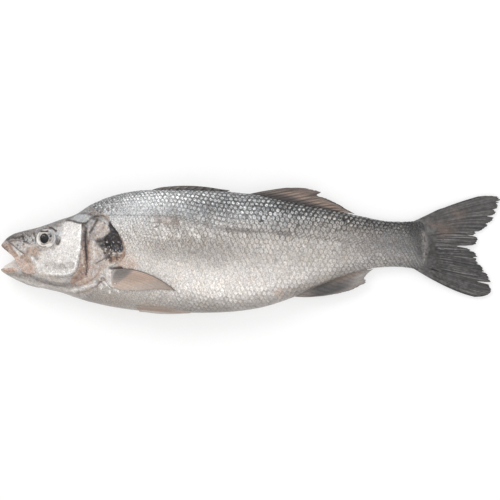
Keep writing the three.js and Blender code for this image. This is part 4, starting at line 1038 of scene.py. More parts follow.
def scale_forms(random, s0, away0, f0, side):
    """The points of every scale's grid: each scale differs a little in size, turn, tilt and roll."""
    u, a, b, off_middle = scale_outline()
    count = len(s0)

    def each_scale(middle, spread):
        return random.normal(middle, spread, count)[:, None, None]

    size = each_scale(1, 0.05)
    turn = np.radians(each_scale(0, 4.5))
    da = a * SCALE_PITCH(s0)[:, None, None] * size
    db = b * ROW_SPACING(s0)[:, None, None] * size
    s = s0[:, None, None] + da * np.cos(turn) - db * np.sin(turn)
    away = away0[:, None, None] + db * np.cos(turn) + da * np.sin(turn)
    tilt, roll = each_scale(0, 0.06), each_scale(0, 0.05)
    crown = 0.12 * (1 - off_middle**2)
    rise = -0.14 + (0.34 + tilt) * u**0.9 + crown * u + roll * b
    # Scales stand out more towards the tail and the back.
    relief = 0.2 + 0.4 * step(230, 290, s0) + 0.7 * step(0.4, 0.95, f0)
    rise = 0.03 + rise * relief[:, None, None]
    bare = flank_place(s, away, side)
    lifted = fin_bed(flank_place(s, away, side, rise), bare)
    return off_table(lifted, fin_bed(bare))


def scale_mesh(name, points, side):
    """One mesh of many thin lenses: a crowned face of small quads over one flat back."""
    first = np.arange(len(points)) * GRID * GRID
    rim = np.concatenate([np.arange(GRID), np.arange(2, GRID) * GRID - 1,
                          GRID * GRID - 1 - np.arange(GRID), np.arange(GRID - 2, 0, -1) * GRID])
    faces = (first[:, None, None] + grid_quads(GRID, GRID)[None]).reshape(-1, 4)
    backs = first[:, None] + rim[::-1][None]
    if side == LEFT:
        faces, backs = faces[:, ::-1], backs[:, ::-1]
    flat = np.concatenate([np.zeros(len(faces), bool), np.ones(len(backs), bool)])
    mesh = new_mesh(name, points.reshape(-1, 3), [faces, backs], flat)
    # Each lens keeps a crisp rim, so that its flat back doesn't bend the shading of its face.
    mesh.set_sharp_from_angle(angle=np.radians(RIM_ANGLE))
    return mesh


def scale_colours(random, centres, s0, f0, middle):
    """Each scale's colour in its bright middle, a painted highlight, and in the dark net round it,
    partly pigment and partly painted shade.
    """
    count = len(centres)
    core = flank_looks(centres, np.ones(count))
    net = flank_looks(centres, -np.ones(count))
    contrast = (core - net).mean(axis=1)
    # luck makes each scale's painted highlight brighter or dimmer at random.
    luck = np.clip(random.normal(0, 1, count), -2.2, 2.2)
    hue = random.normal(0, 1, count)[:, None] * np.array([0.8, 0.0, -0.9])
    calm = 0.09 * middle * step(0.92, 0.82, f0)
    core = core + (luck * (1.5 + (0.2 - calm) * contrast))[:, None] + hue
    net = net + ((1.5 + 0.12 * contrast) * random.normal(0, 1, count))[:, None] + hue
    # Some scales get a painted glint, others a white speck.
    for where, share, light in GLINTS_AND_SPECKS:
        bright = random.random(count) < share * area_mark(s0, centres[:, 1], where, 4)
        shine = light + np.array([3, -1, -6])
        core[bright] += (shine - core[bright]) * 0.8
        net[bright] += (shine - net[bright]) * 0.4
    return core, net


def scales(side, material):
    """All scales of one flank as one mesh: each is a thin lens whose rear edge stands free."""
    random = np.random.default_rng(SCALE_SEED + (side == LEFT))
    row, s0, away0 = scale_spots(random).T
    centres = flank_place(s0, away0, side)
    rubbed = area_mark(s0, centres[:, 1], RUBBED_PATCH, 3)
    lost = random.random(len(s0)) < 0.002 + 0.1 * rubbed + 0.8 * step(379, 382, s0)
    keep = (s0 > SCALES_FROM(centres[:, 1]) + random.normal(0, 0.5, len(s0))) & ~lost
    row, s0, away0, centres = row[keep], s0[keep], away0[keep], centres[keep]
    f0 = flank_share(s0, centres[:, 1])
    mesh = scale_mesh(sided("scales", side), scale_forms(random, s0, away0, f0, side), side)

    middle = step(205, 240, s0) * step(330, 300, s0)
    behind = step(150, 205, s0)
    core, net = scale_colours(random, centres, s0, f0, middle)
    # How coarse a scale's speckle looks: strongest high on the back.
    sparkle = 0.62 + 0.2 * step(0.45, 0.6, f0) + 0.75 * step(0.9 - 0.25 * behind, 0.97 - 0.1 * behind, f0)
    sparkle = sparkle + 0.15 * step(0.4, 0.55, f0) * (1 - behind) + 0.25 * step(300, 340, s0)
    sparkle = sparkle + 0.25 * step(215, 260, s0) * step(0.8, 0.9, f0)
    sparkle = sparkle - 0.12 * middle * step(0.5, 0.6, f0)
    # Low on the flank the net is thin and its meshes tall, high on the back it is broad.
    tall = 1 + 0.4 * step(0.74 + 0.18 * middle, 0.6 + 0.2 * middle, f0)
    swell = 1.2 - 0.25 * step(0.6 + 0.22 * middle, 0.8 + 0.12 * middle, f0) - 0.2 * step(0.4, 0.25, f0)
    swell = swell - 0.2 * step(225, 265, s0) * step(0.82, 0.92, f0)
    for name, values in {"core": linear(core), "net": linear(net), "sparkle": sparkle,
                         "swell": swell, "tall": tall}.items():
        add_attribute(mesh, name, np.repeat(values, GRID * GRID, axis=0))
    _, a, b, _ = scale_outline()
    on_line = (row == 0).astype(float)
    place = np.stack(np.broadcast_arrays(a[None], b[None], on_line[:, None, None]), axis=-1)
    add_attribute(mesh, "place", place.reshape(-1, 3))
    return new_piece(mesh, material)


# ---- Eyes --------------------------------------------------------------------

EYE_SPOT, EYE_ACROSS = (42.6, 10.1), (9.3, 9.0)    # the eyeball's middle and reach
EYE_STRAIGHT = 0.8       # how much more it looks straight out than the skin round it does
EYE_RINGS, EYE_SECTORS = 34, 84
# The eyeball's side in its socket: shares of the way out, and heights over its seat.
SIDE_SHARE, SIDE_HEIGHT = [1.0, 0.96], [-1.2, -3.2]
IRIS, IRIS_RIM, PUPIL_BLACK = (200.0, 194.0, 189.0), (146, 139, 135), (38, 35, 36)
EYE_PAINT = [
    (AREA, [(44.0, 16.6), (49, 15.6), (50.4, 11), (48.4, 7.4), (44.8, 7.6), (44.4, 12)],
     (150, 150, 151), 0.9, 1.0, 0.3),
    (LINE, [(36.4, 14.4), (36.2, 10.4), (38.2, 6.6), (41.4, 5.6)], (150, 147, 145), 0.75, 1.0, 0.2),
    (LINE, [(45.6, 17.4), (49.6, 15.2), (50.8, 11.4), (50, 8.4)], (206, 209, 212), 0.85, 1.3, 0.2),
    (LINE, [(44.6, 14.4), (47.2, 14.0), (47.9, 12.2)], (98, 96, 97), 0.75, 0.9, 0.3),
    (LINE, [(47.4, 15), (48.9, 12.4), (48.4, 10)], (200, 193, 188), 0.7, 0.9, 0.2),
    (SPOT, [(46.7, 12.3)], (58, 55, 56), 1.0, 1.3, 0.0),
    (SPOT, [(46.2, 8.6)], (92, 88, 88), 0.8, 1.1, 0.2),
    (LINE, [(36.8, 16.9), (40.6, 17.1), (44.0, 16.8)], (62, 56, 55), 0.95, 1.1, 0.0),
    (LINE, [(44.6, 16.8), (47.0, 16.2), (48.6, 15.2)], (176, 174, 174), 0.7, 1.2, 0.2),
    (LINE, [(36.6, 15.9), (41, 16.3), (45, 15.6)], (206, 199, 194), 0.8, 0.8, 0.1),
    (LINE, [(34.6, 14.8), (34.0, 11.4), (35.2, 7.6), (38.2, 5.0), (43, 3.9), (46.8, 5.1)],
     (240, 237, 232), 0.95, 1.9, 0.1),
    (LINE, [(33.5, 7.0), (35.2, 4.8), (38.2, 3.0), (42.5, 2.6)], (138, 126, 119), 0.85, 0.8, 0.2),
    (LINE, [(38.2, 5.4), (40.6, 4.8), (43.6, 5.9), (46.4, 7.7), (48.2, 9.8)],
     (138, 120, 109), 0.8, 0.9, 0.25),
    (LINE, [(44.4, 6.2), (47.4, 8.2), (49.2, 10.2)], (220, 210, 202), 0.7, 0.9, 0.2),
    (LINE, [(44.4, 13.6), (45.4, 11.4), (44.9, 9.4)], (170, 168, 168), 0.8, 0.8, 0.3),
]
PUPIL_GLINTS = [
    (LINE, [(39.0, 11.0), (39.2, 12.4), (40.4, 13.0), (41.8, 12.4)], (150, 149, 150), 0.75, 0.8, 0.1),
    (SPOT, [(40.4, 11.6)], (96, 94, 95), 0.6, 0.8, 0.2),
    (SPOT, [(45.0, 9.4)], (140, 140, 140), 0.6, 0.8, 0.2),
]
PUPIL, PUPIL_ACROSS = (41.1, 10.4), (4.1, 4.5)


def eye_height(share):
    """Height of the eyeball over its seat, by share of the way out: cornea, groove and edge."""
    dome = 2.7 * np.clip(1 - share**2, 0, 1) ** 0.75
    groove = 0.42 * np.exp(-(((share - 0.8) / 0.06) ** 2))
    lens = 0.35 * (1 - step(0.38, 0.52, share))
    return dome - groove + lens - 0.2


def eye(side, material):
    """A lens-shaped eyeball set in its socket, painted as iris and pupil under a wet coat."""
    def flank(ds=0, dy=0):
        """The skin's point where the eye is, or that far from it."""
        s, y = EYE_SPOT[0] + ds, EYE_SPOT[1] + dy
        angle = angle_at(s, y)
        return skin_point(s, angle if side == LEFT else np.pi - angle)

    # The eye looks out along the skin's normal, turned a little more straight out.
    seat = flank()
    normal = np.cross(flank(ds=3) - seat, flank(dy=3) - seat) * side
    normal /= np.linalg.norm(normal)
    normal[2] += side * EYE_STRAIGHT
    normal /= np.linalg.norm(normal)
    along = np.array([1.0, 0, 0]) - normal * normal[0]
    along /= np.linalg.norm(along)
    above = np.cross(normal, along) * side
    share = np.concatenate([np.linspace(0.02, 1, EYE_RINGS), SIDE_SHARE])
    height = np.concatenate([eye_height(share[:EYE_RINGS]), SIDE_HEIGHT])
    around = np.linspace(0, 2 * np.pi, EYE_SECTORS, endpoint=False)
    reach = share[:, None, None] * (np.cos(around)[:, None] * EYE_ACROSS[0] * along
                                    + np.sin(around)[:, None] * EYE_ACROSS[1] * above)
    grid = seat + reach + height[:, None, None] * normal
    points, polygons = tube(grid)
    points = off_table(points)
    mesh = new_mesh(sided("eyeball", side), points, polygons)
    looks = np.tile(np.array(IRIS), (len(points), 1))
    looks *= (1 + 0.07 * mottle(points, 1.8, 61) + 0.05 * noise(points, 1.0, 63))[:, None]
    looks = paint_over(looks, points, EYE_PAINT)
    rim = step(0.93, 1.0, np.repeat(share, EYE_SECTORS))
    looks = blend_looks(looks, IRIS_RIM, 0.5 * rim)
    from_pupil = np.hypot((points[:, 0] - LIP_X - PUPIL[0]) / PUPIL_ACROSS[0],
                          (points[:, 1] - PUPIL[1]) / PUPIL_ACROSS[1])
    pupil = 1 - step(0.88, 1.04, from_pupil + 0.05 * noise(points, 1.5, 62))
    looks = blend_looks(looks, PUPIL_BLACK, pupil)
    looks = paint_over(looks, points, PUPIL_GLINTS)
    add_attribute(mesh, "looks", linear(looks))
    return new_piece(mesh, material, [sided("eye", side)])


# ---- Fins --------------------------------------------------------------------

def ray_spread(rows):
    """A point (s, y) for each share u of the way across a fin, smooth through the rows."""
    s_curve = curve_through([(u, s) for u, s, _ in rows])
    y_curve = curve_through([(u, y) for u, _, y in rows])
    return lambda u: np.stack([s_curve(u), y_curve(u)], axis=-1)


def quadratic(root, bend, tip, v):
    """Points at share v along rays that leave root, bend over and end at tip."""
    v = v[..., None]
    return (1 - v) ** 2 * root + 2 * v * (1 - v) * bend + v * v * tip


def ray_ridge(rays, u, v):
    """1 on a ray, 0 between: each ray splits in two, and towards the margin in four."""
    from_ray = np.abs((rays * u + 0.5) % 1 - 0.5)
    forked = np.abs(from_ray - 0.25 * step(0.22, 0.85, v))
    forked = np.abs(forked - 0.125 * step(0.55, 1.1, v))
    width = 0.15 - 0.075 * v
    return np.exp(-((forked / width) ** 2))


def torn_margin(rays, u, seed, depth):
    """How far each part of a fin's margin falls short, as a share of the ray: ragged ends and slits."""
    random = np.random.default_rng(seed)
    ends = random.random(4 * rays + 2)
    grid = np.linspace(0, 1, len(ends))
    ragged = depth * np.interp(u, grid, ends) ** 2
    torn = ragged + 0.5 * depth * (1 - ray_ridge(rays, u, np.ones_like(u)))
    return torn * step(0, 0.06, np.minimum(u, 1 - u))


def slab(top, bottom):
    """Points and polygons of a closed slab between two grids of points."""
    rows, columns = top.shape[:2]
    count = rows * columns
    upper = grid_quads(rows, columns)
    index = np.arange(count).reshape(rows, columns)
    edge = np.concatenate([index[0], index[1:, -1], index[-1, -2::-1], index[-2:0:-1, 0]])
    following = np.roll(edge, -1)
    sides = np.stack([following, edge, edge + count, following + count], axis=-1)
    faces = np.concatenate([upper, upper[:, ::-1] + count, sides])
    points = np.concatenate([top.reshape(-1, 3), bottom.reshape(-1, 3)])
    return points, [outward(points, faces)]


def fin_grid(columns, rows):
    """Shares across a fin (u) and out along its rays (v)."""
    return np.meshgrid(np.linspace(0, 1, columns), np.linspace(0, 1, rows))


def between(first, last, u):
    """From first to last as u goes from 0 to 1."""
    return first + (last - first) * u


def over_grid(pattern, grid, size, seed):
    """A random pattern's value at each point of a grid."""
    return pattern(grid.reshape(-1, 3), size, seed).reshape(grid.shape[:2])


def streaks(across, along, seed):
    """Random streaks that run along a fin's rays."""
    return over_grid(mottle, np.stack([across, along, np.zeros_like(across)], axis=-1), 1.0, seed)


def half_thickness(ridge, v, web, ray, flesh, flesh_to, thin_from):
    """Half of a fin's thickness: web and ray, thicker at the fleshy root and thin at the margin."""
    half = (web + (ray - web) * ridge) * (1 - 0.4 * v) + flesh * (1 - step(0, flesh_to, v))
    return half * (1 - 0.5 * step(thin_from, 1, v))


def layered(base, lighter, layers):
    """A colour, lighter or darker by place, under layers of other colours with their shares."""
    looks = np.asarray(base, float) + lighter[..., None]
    for colour, share in layers:
        looks = blend_looks(looks, colour, share)
    return looks


def fin_piece(name, middle, across, half, looks, material, replaced):
    """A fin from its middle surface, the direction of its thickness, and half of that thickness."""
    points, polygons = slab(middle + across * half[..., None], middle - across * half[..., None])
    mesh = new_mesh(name, off_table(points), polygons)
    mesh.set_sharp_from_angle(angle=np.radians(MARGIN_ANGLE))
    add_attribute(mesh, "looks", linear(np.concatenate(2 * [looks.reshape(-1, 3)])))
    return new_piece(mesh, material, [replaced])


MARGIN_ANGLE = 70        # edges sharper than this, in degrees, stay crisp
UP = np.array([0.0, 0.0, 1.0])
CAUDAL_RAYS = 17
# The tail fin's root, an arc in the end of the stalk: centre, radii, and degrees to each side.
TAIL_ARC, TAIL_ARC_RADII, TAIL_ARC_HALF = (368, 4.7), (9, 18.8), 84
CAUDAL_BEND = ray_spread([
    (0, 397, 39), (0.15, 416, 37), (0.3, 414, 24), (0.45, 404, 9), (0.55, 404, 2),
    (0.7, 410, -9), (0.85, 413, -27), (1, 405, -37.4)])
CAUDAL_TIP = ray_spread([
    (0, 432, 48.6), (0.03, 442, 49.4), (0.065, 453.4, 47.8), (0.12, 451.4, 42.4), (0.18, 449, 35),
    (0.24, 445.6, 27.4), (0.3, 438.6, 19.8), (0.36, 428.4, 13.6), (0.41, 432, 10.6), (0.46, 428.4, 4.4),
    (0.5, 412.8, 3.6), (0.54, 422.6, 1.4), (0.58, 428.6, -1.8), (0.625, 432.4, -6.2), (0.66, 431, -9.6),
    (0.71, 436, -15.4), (0.775, 441, -22.6), (0.835, 444, -29.4), (0.862, 442.2, -32), (0.9, 444.2, -35.8),
    (0.94, 442.4, -39.6), (0.97, 437, -42), (1, 429, -42.6)])
# Tears in the tail's margin: place across it, depth as a share of the ray, and width.
TAIL_SLITS = [
    (0.10, 0.06, 0.006), (0.165, 0.07, 0.005), (0.215, 0.12, 0.006), (0.27, 0.07, 0.005),
    (0.335, 0.08, 0.006), (0.375, 0.16, 0.006), (0.57, 0.08, 0.006), (0.635, 0.10, 0.006),
    (0.69, 0.07, 0.005), (0.755, 0.08, 0.005), (0.845, 0.2, 0.007)]
TAIL_RUST = [
    (386, 25), (396, 24), (404, 33), (414, 37), (420, 36), (414, 27), (408, 16), (400, 11), (396, 16)]


def tail_looks(u, v, s, y, place, ridge, grain):
    """Colours of the tail fin: dark, streaked along its rays and blotched."""
    streak = streaks(100 * u, 1.5 * v, 72)
    speckle = over_grid(noise, place, 1.5, 73)
    on_ray, lower = step(0.24, 0.42, v), step(0.45, 0.62, u)
    near_margin = 0.8 * step(0.62, 0.85, v) * step(0.1, 0.3, u)
    lively = 0.35 + 0.65 * np.maximum(step(0.26, 0.42, u) * step(0.94, 0.8, u), near_margin)
    lighter = (9 + 12 * lively) * streak * on_ray + (8 + 6 * lower) * grain + (16 + 12 * lower) * speckle
    rust = area_mark(s.ravel(), y.ravel(), TAIL_RUST, 6).reshape(u.shape)
    # A pale fold and a dark band behind it curve across the root.
    curve = s + 0.012 * (y - 4) ** 2
    fold = np.exp(-(((curve - 384.6) / 1.8) ** 2)) * (v < 0.6)
    behind = np.exp(-(((curve - 390) / 3.0) ** 2)) * (v < 0.6) * step(18, 8, y)
    rust = rust * step(-0.4, 0.5, over_grid(mottle, place, 7, 74))
    return layered(np.array([93.0, 90.5, 90.0]) - (13 * lower)[..., None], lighter, [
        ((58, 56, 56), 0.6 * ridge * on_ray * lively),
        ((34, 32, 32), 0.9 * step(0.1, 0.4, streak) * on_ray * lively),
        ((160, 156, 153), 0.62 * (1 - ridge) * on_ray * step(-0.1, -0.42, streak) * lively),
        ((130, 108, 97), 0.6 * rust),
        ((140, 136, 134), 0.5 * fold * step(-0.9, 0.3, speckle) * step(19, 12, y)),
        ((74, 71, 71), 0.6 * behind),
        # its first and last ray, and its margin
        ((54, 52, 53), 0.75 * step(0.03, 0.0, np.minimum(u, 1 - u)) * step(0.3, 0.5, v)),
        ((66, 63, 63), 0.5 * step(0.9, 1, v)),
    ])


def caudal_fin(material):
    """The forked tail fin, whose root is an arc inside the end of the stalk."""
    u, v = fin_grid(16 * CAUDAL_RAYS + 1, 64)
    turn = np.radians(TAIL_ARC_HALF - 2 * TAIL_ARC_HALF * u)
    root = np.stack([TAIL_ARC[0] + TAIL_ARC_RADII[0] * np.cos(turn),
                     TAIL_ARC[1] + TAIL_ARC_RADII[1] * np.sin(turn)], axis=-1)
    torn = torn_margin(CAUDAL_RAYS, u, FIN_SEED, 0.034) * (1 - 0.6 * step(0.85, 0.88, u))
    for place_of_slit, depth, width in TAIL_SLITS:
        torn = np.maximum(torn, depth * np.exp(-(((u - place_of_slit) / width) ** 2)))
    flat = quadratic(root, CAUDAL_BEND(u), CAUDAL_TIP(u), v * (1 - torn))
    s, y = flat[..., 0], flat[..., 1]
    ridge = ray_ridge(CAUDAL_RAYS, u, v)
    # It sinks towards the table and waves a little, as a wet fin does.
    level = 6.6 - 3.4 * step(378, 440, s) + 0.7 * np.sin(5 * np.pi * u) * step(399, 416, s)
    place = np.stack([LIP_X + s, y, level], axis=-1)
    grain = over_grid(mottle, place, 5, 71)
    place[..., 2] += 0.35 * grain * v
    flesh = 1 - step(0.12, 0.44, v)
    half = 0.22 + 0.34 * ridge * (1 - 0.45 * v) * step(0.16, 0.36, v) + 2.5 * flesh
    half = half * (1 - 0.5 * step(0.94, 1, v))
    looks = tail_looks(u, v, s, y, place, ridge, grain)
    return fin_piece("tail_fin", place, UP, half, looks, material, "caudal_fin")


DORSAL_BEND = ray_spread([
    (0, 241, 54.4), (0.3, 266, 51), (0.5, 279, 46.5), (0.75, 296, 40.6), (1, 309, 34.6)])
DORSAL_TIP = ray_spread([
    (0, 258, 56.2), (0.12, 272, 56.2), (0.25, 283, 54.4), (0.36, 289.4, 52.2), (0.44, 285.6, 49.6),
    (0.55, 294, 46.6), (0.75, 305, 41.4), (0.9, 314, 36), (1, 320, 32.6)])
ANAL_BEND = ray_spread([
    (0, 273, -43), (0.33, 296, -38.6), (0.6, 311, -32), (0.85, 322, -25.6), (1, 332, -18.6)])
ANAL_TIP = ray_spread([
    (0, 281, -42.4), (0.12, 293, -41.4), (0.33, 311, -38), (0.5, 321.6, -34.2), (0.65, 330.4, -29.2),
    (0.78, 329.4, -24.4), (0.9, 333, -20), (1, 337, -17)])


def middle_fin(name, replaced, rays, root, bend, tip, paint, material, web, ray, seed, ragged=0.04,
               lift=0.0, sweep=0.0):
    """A fin that stands in the middle plane of the body, or lift above it.

    web and ray are half its thickness between its rays and on them, ragged how torn its margin
    is, and sweep slants the streaks over its rays.
    """
    u, v = fin_grid(16 * rays + 1, 44)
    flat = quadratic(root(u), bend(u), tip(u), v * (1 - torn_margin(rays, u, seed, ragged)))
    s, y = flat[..., 0], flat[..., 1]
    place = np.stack([LIP_X + s, y, middle_plane(s) + lift], axis=-1)
    grain = over_grid(mottle, place, 4, seed)
    place[..., 2] += 0.3 * grain * v
    ridge = ray_ridge(rays, u, v)
    half = half_thickness(ridge, v, web, ray, flesh=1.2, flesh_to=0.2, thin_from=0.92)
    looks = paint(u, v, s, ridge, streaks(4 * rays * (u - sweep * v), 1.4 * v, seed + 1), grain)
    return fin_piece(name, place, UP, half, looks, material, replaced)


def dorsal_second(material):
    """The soft back fin: brown, with dark rays and a dark tip."""
    def root(u):
        s = between(219, 301, u)
        return np.stack([s, back_height(s) - 1.6], axis=-1)

    def paint(u, v, s, ridge, streak, grain):
        return layered((154, 135, 124), 26 * streak, [
            # streaks and rays
            ((182, 161, 148), 0.6 * step(-0.1, -0.5, streak) * step(0.4, 0.6, v)),
            ((84, 76, 73), 0.6 * ridge),
            ((74, 68, 66), 0.6 * step(0.25, 0.55, streak)),
            # its root and front, its margin, the dark notch, the pale rear and the dark hem
            ((72, 69, 69), 0.85 * step(0.5, 0.2, v)),
            ((104, 98, 96), 0.7 * step(0.2, 0.02, u)),
            ((120, 112, 108), 0.5 * step(0.7, 1, v)),
            ((84, 80, 79), 0.7 * step(0.3, 0.42, u) * step(0.5, 0.42, u) * step(0.55, 0.9, v)),
            ((178, 170, 164), 0.4 * step(0.85, 1, u) * step(0.4, 0.8, v)),
            ((58, 55, 55), 0.9 * step(0.89, 0.96, v) * step(0.4, 0.6, u)),
        ])

    return middle_fin("back_fin_soft", "dorsal_fin_second", 12, root, DORSAL_BEND, DORSAL_TIP,
                      paint, material, web=0.25, ray=0.62, seed=81)


def dorsal_first(material):
    """The spiny back fin, folded down along the ridge."""
    def over_back(s, height):
        return np.stack([s, back_height(s) + height], axis=-1)

    def root(u):
        return over_back(between(133, 201, u), -1.8)

    def bend(u):
        return over_back(between(139, 207, u), 1.6 + 2.0 * np.sin(np.pi * u))

    def tip(u):
        return over_back(between(147, 207, u), 1.6 + 2.0 * np.sin(np.pi * np.minimum(u + 0.12, 1)))

    def paint(u, v, s, ridge, streak, grain):
        return layered((126, 119, 116), 24 * streak, [
            # pale spines, a dark root and a dark rear
            ((176, 171, 168), 0.6 * ridge * step(196, 160, s)),
            ((66, 62, 62), 0.85 * step(0.5, 0.15, v)),
            ((86, 81, 80), 0.7 * step(150, 186, s)),
        ])

    return middle_fin("back_fin_spiny", "dorsal_fin_first", 9, root, bend, tip,
                      paint, material, web=0.35, ray=1.25, seed=84, ragged=0.12, lift=0.6)


def anal_fin(material):
    """The fin under the stalk: pale at its ends, dark in the middle."""
    def root(u):
        s = between(262, 326, u)
        return np.stack([s, belly_height(s) + 1.6], axis=-1)

    def paint(u, v, s, ridge, streak, grain):
        return layered((144, 137, 133), 20 * streak + 9 * grain, [
            # rays, the dark middle, the brown and pale rear, brown streaks in front, and the margin
            ((112, 107, 104), 0.2 * ridge),
            ((74, 72, 72), 0.85 * step(272, 288, s) * step(324, 304, s) * step(1.0, 0.6, v)),
            ((148, 128, 115), 0.6 * step(0.35, 0.7, u) * step(0.5, 0.2, v)),
            ((172, 167, 163), 0.5 * step(0.5, 0.9, u) * step(0.35, 0.7, v)),
            ((108, 92, 84), 0.6 * step(288, 274, s) * step(-0.1, 0.4, streak)),
            ((82, 77, 76), 0.6 * step(0.93, 1, v) * step(0.75, 0.5, u)),
        ])

    return middle_fin("anal_fin_skin", "anal_fin", 11, root, ANAL_BEND, ANAL_TIP,
                      paint, material, web=0.25, ray=0.5, seed=87, ragged=0.06, sweep=0.3)


PECTORAL_ROOT = ray_spread([(0, 104, -16.4), (0.5, 101.4, -22.8), (1, 102, -30.6)])
PECTORAL_BEND = ray_spread([(0, 132, -13.5), (0.5, 124, -23.5), (1, 106, -33)])
PECTORAL_TIP = ray_spread([
    (0, 160, -36), (0.25, 157, -35.4), (0.5, 144, -34.4), (0.75, 127, -35.2), (1, 111, -34.6)])
FIN_FLOOR = 0.75         # how high the middle of a pressed fin lies over the table


def flank_fin(name, replaced, side, rays, spot, paint, material, web, ray, seed):
    """A paired fin lying along a flank; spot gives s, angle and lift for (u, v)."""
    u, v = fin_grid(18 * rays + 1, 50)
    s, angle, lift = spot(u, v * (1 - torn_margin(rays, u, seed, 0.035)))
    place = skin_point(s, angle if side == LEFT else np.pi - angle, lift)
    place[..., 2] = np.maximum(place[..., 2], FIN_FLOOR)
    across = np.stack([0 * angle, np.sin(angle), side * np.cos(angle)], axis=-1)
    ridge = ray_ridge(rays, u, v)
    half = half_thickness(ridge, v, web, ray, flesh=0.7, flesh_to=0.16, thin_from=0.94)
    looks = paint(u, v, ridge, streaks(4 * rays * u, 1.5 * v, seed))
    return fin_piece(sided(name, side), place, across, half, looks, material,
                     sided(replaced, side))


def pectoral_fin(side, material):
    """The breast fin, folded back and down over the flank."""
    def spot(u, v):
        flat = quadratic(PECTORAL_ROOT(u), PECTORAL_BEND(u), PECTORAL_TIP(u), v)
        s, y = flat[..., 0], flat[..., 1]
        return s, angle_at(s, y), 1.2 + 0.6 * v

    def paint(u, v, ridge, streak):
        shade = step(0.36, 0.25, v + 0.06 * u) * step(1.0, 0.74, u)
        return layered((189, 167, 153), 12 * streak, [
            # rays and a worn patch
            ((152, 135, 125), 0.35 * ridge),
            ((158, 140, 128), 0.4 * step(0.24, 0.12, np.abs(v - 0.42)) * step(0.3, 0.1, np.abs(u - 0.5))),
            # the grey skin at its root, darkened with painted shade
            ((118, 113, 111), 0.88 * shade),
            ((150, 145, 142), 0.6 * shade * step(0.0, 0.6, streak)),
            # its pale base, its greyer tip, its dark first ray, its light rear and its margin
            ((206, 200, 196), 0.7 * step(0.07, 0.0, v)),
            ((168, 157, 149), 0.75 * step(0.64, 0.8, v)),
            ((190, 182, 176), 0.6 * step(0.64, 0.8, v) * step(0.1, 0.5, streak)),
            ((98, 88, 83), 0.85 * step(0.045, 0.01, u)),
            ((204, 186, 174), 0.5 * step(0.4, 0.8, u)),
            ((132, 118, 110), 0.5 * step(0.94, 1, v)),
        ])

    return flank_fin("breast_fin", "pectoral_fin", side, 10, spot, paint, material,
                     web=0.22, ray=0.5, seed=91)


def pelvic_fin(side, material):
    """The belly fin, close along the belly."""
    def spot(u, v):
        spread = 2 + 5 * np.sin(np.pi * np.minimum(v + 0.12, 1))
        angle = np.radians(-70 - spread * (u - 0.5) * 2.4 - 6 * v)
        lift = 0.05 + (1.2 + 0.5 * np.sin(np.pi * v)) * step(0.0, 0.4, u)
        return 123 + 3 * u + (50 - 5 * u) * v, angle, lift

    def paint(u, v, ridge, streak):
        return layered((172, 157, 147), 9 * streak, [
            # rays, the pink streak, its pale half, and its edges
            ((152, 136, 125), 0.35 * ridge),
            ((150, 130, 118), 0.75 * step(0.9, 0.5, v) * step(0.55, 0.35, u)),
            ((194, 188, 183), 0.85 * step(0.4, 0.58, u)),
            ((160, 154, 149), 0.7 * np.maximum(step(0.22, 0.02, u), step(0.8, 1, v))),
        ])

    return flank_fin("belly_fin", "pelvic_fin", side, 6, spot, paint, material,
                     web=0.25, ray=0.55, seed=95)


# ---- Materials ---------------------------------------------------------------

class Nodes:
    """A material's node tree, with short calls that add a node and give its output."""

    def __init__(self, name):
        self.material = bpy.data.materials.new(name)
        self.material.use_nodes = True
        self.tree = self.material.node_tree
        self.shader = self.tree.nodes["Principled BSDF"]

    def add(self, kind, **settings):
        node = self.tree.nodes.new(kind)
        for key, value in settings.items():
            setattr(node, key, value)
        return node

    def link(self, source, target):
        self.tree.links.new(source, target)

    def feed(self, socket, value):
        """Gives a socket another node's output, or a constant."""
        if isinstance(value, bpy.types.NodeSocket):
            self.link(value, socket)
        else:
            socket.default_value = value

    def attribute(self, name):
        return self.add("ShaderNodeAttribute", attribute_name=name)

    def math(self, operation, a, b=0.0):
        node = self.add("ShaderNodeMath", operation=operation)
        self.feed(node.inputs[0], a)
        self.feed(node.inputs[1], b)
        return node.outputs[0]

    def noise(self, scale, detail=3.0, roughness=0.55, stretch=None):
        place = self.add("ShaderNodeTexCoord").outputs["Object"]
        if stretch:
            mapping = self.add("ShaderNodeMapping")
            mapping.inputs["Scale"].default_value = stretch
            self.link(place, mapping.inputs["Vector"])
            place = mapping.outputs["Vector"]
        node = self.add("ShaderNodeTexNoise")
        node.inputs["Scale"].default_value = scale
        node.inputs["Detail"].default_value = detail
        node.inputs["Roughness"].default_value = roughness
        self.link(place, node.inputs["Vector"])
        return node.outputs["Fac"]

    def ramp(self, value, low, high, from_low=0.0, from_high=1.0, smooth=False):
        """From low to high as the value goes from from_low to from_high."""
        node = self.add("ShaderNodeMapRange", interpolation_type="SMOOTHSTEP" if smooth else "LINEAR")
        self.feed(node.inputs["Value"], value)
        node.inputs["From Min"].default_value, node.inputs["From Max"].default_value = from_low, from_high
        node.inputs["To Min"].default_value, node.inputs["To Max"].default_value = low, high
        return node.outputs["Result"]

    def grain(self, settings, values, heights):
        """Noise of those settings, as values from low to high between two of its heights."""
        return self.ramp(self.noise(*settings), *values, *heights)

    def mix(self, share, a, b):
        """Colour a moved to colour b by a share."""
        node = self.add("ShaderNodeMix", data_type="RGBA")
        self.feed(node.inputs["Factor"], share)
        self.feed(node.inputs["A"], a)
        self.feed(node.inputs["B"], b)
        return node.outputs["Result"]

    def brighten(self, colour, value):
        """The colour times a number."""
        node = self.add("ShaderNodeVectorMath", operation="SCALE")
        self.link(colour, node.inputs[0])
        self.feed(node.inputs["Scale"], value)
        return node.outputs["Vector"]

    def bump(self, height, distance, strength=1.0):
        node = self.add("ShaderNodeBump")
        node.inputs["Strength"].default_value = strength
        node.inputs["Distance"].default_value = distance
        self.link(height, node.inputs["Height"])
        self.link(node.outputs["Normal"], self.shader.inputs["Normal"])

    def set(self, **values):
        """Shader inputs by name, with _ for a space."""
        for name, value in values.items():
            self.feed(self.shader.inputs[name.replace("_", " ")], value)


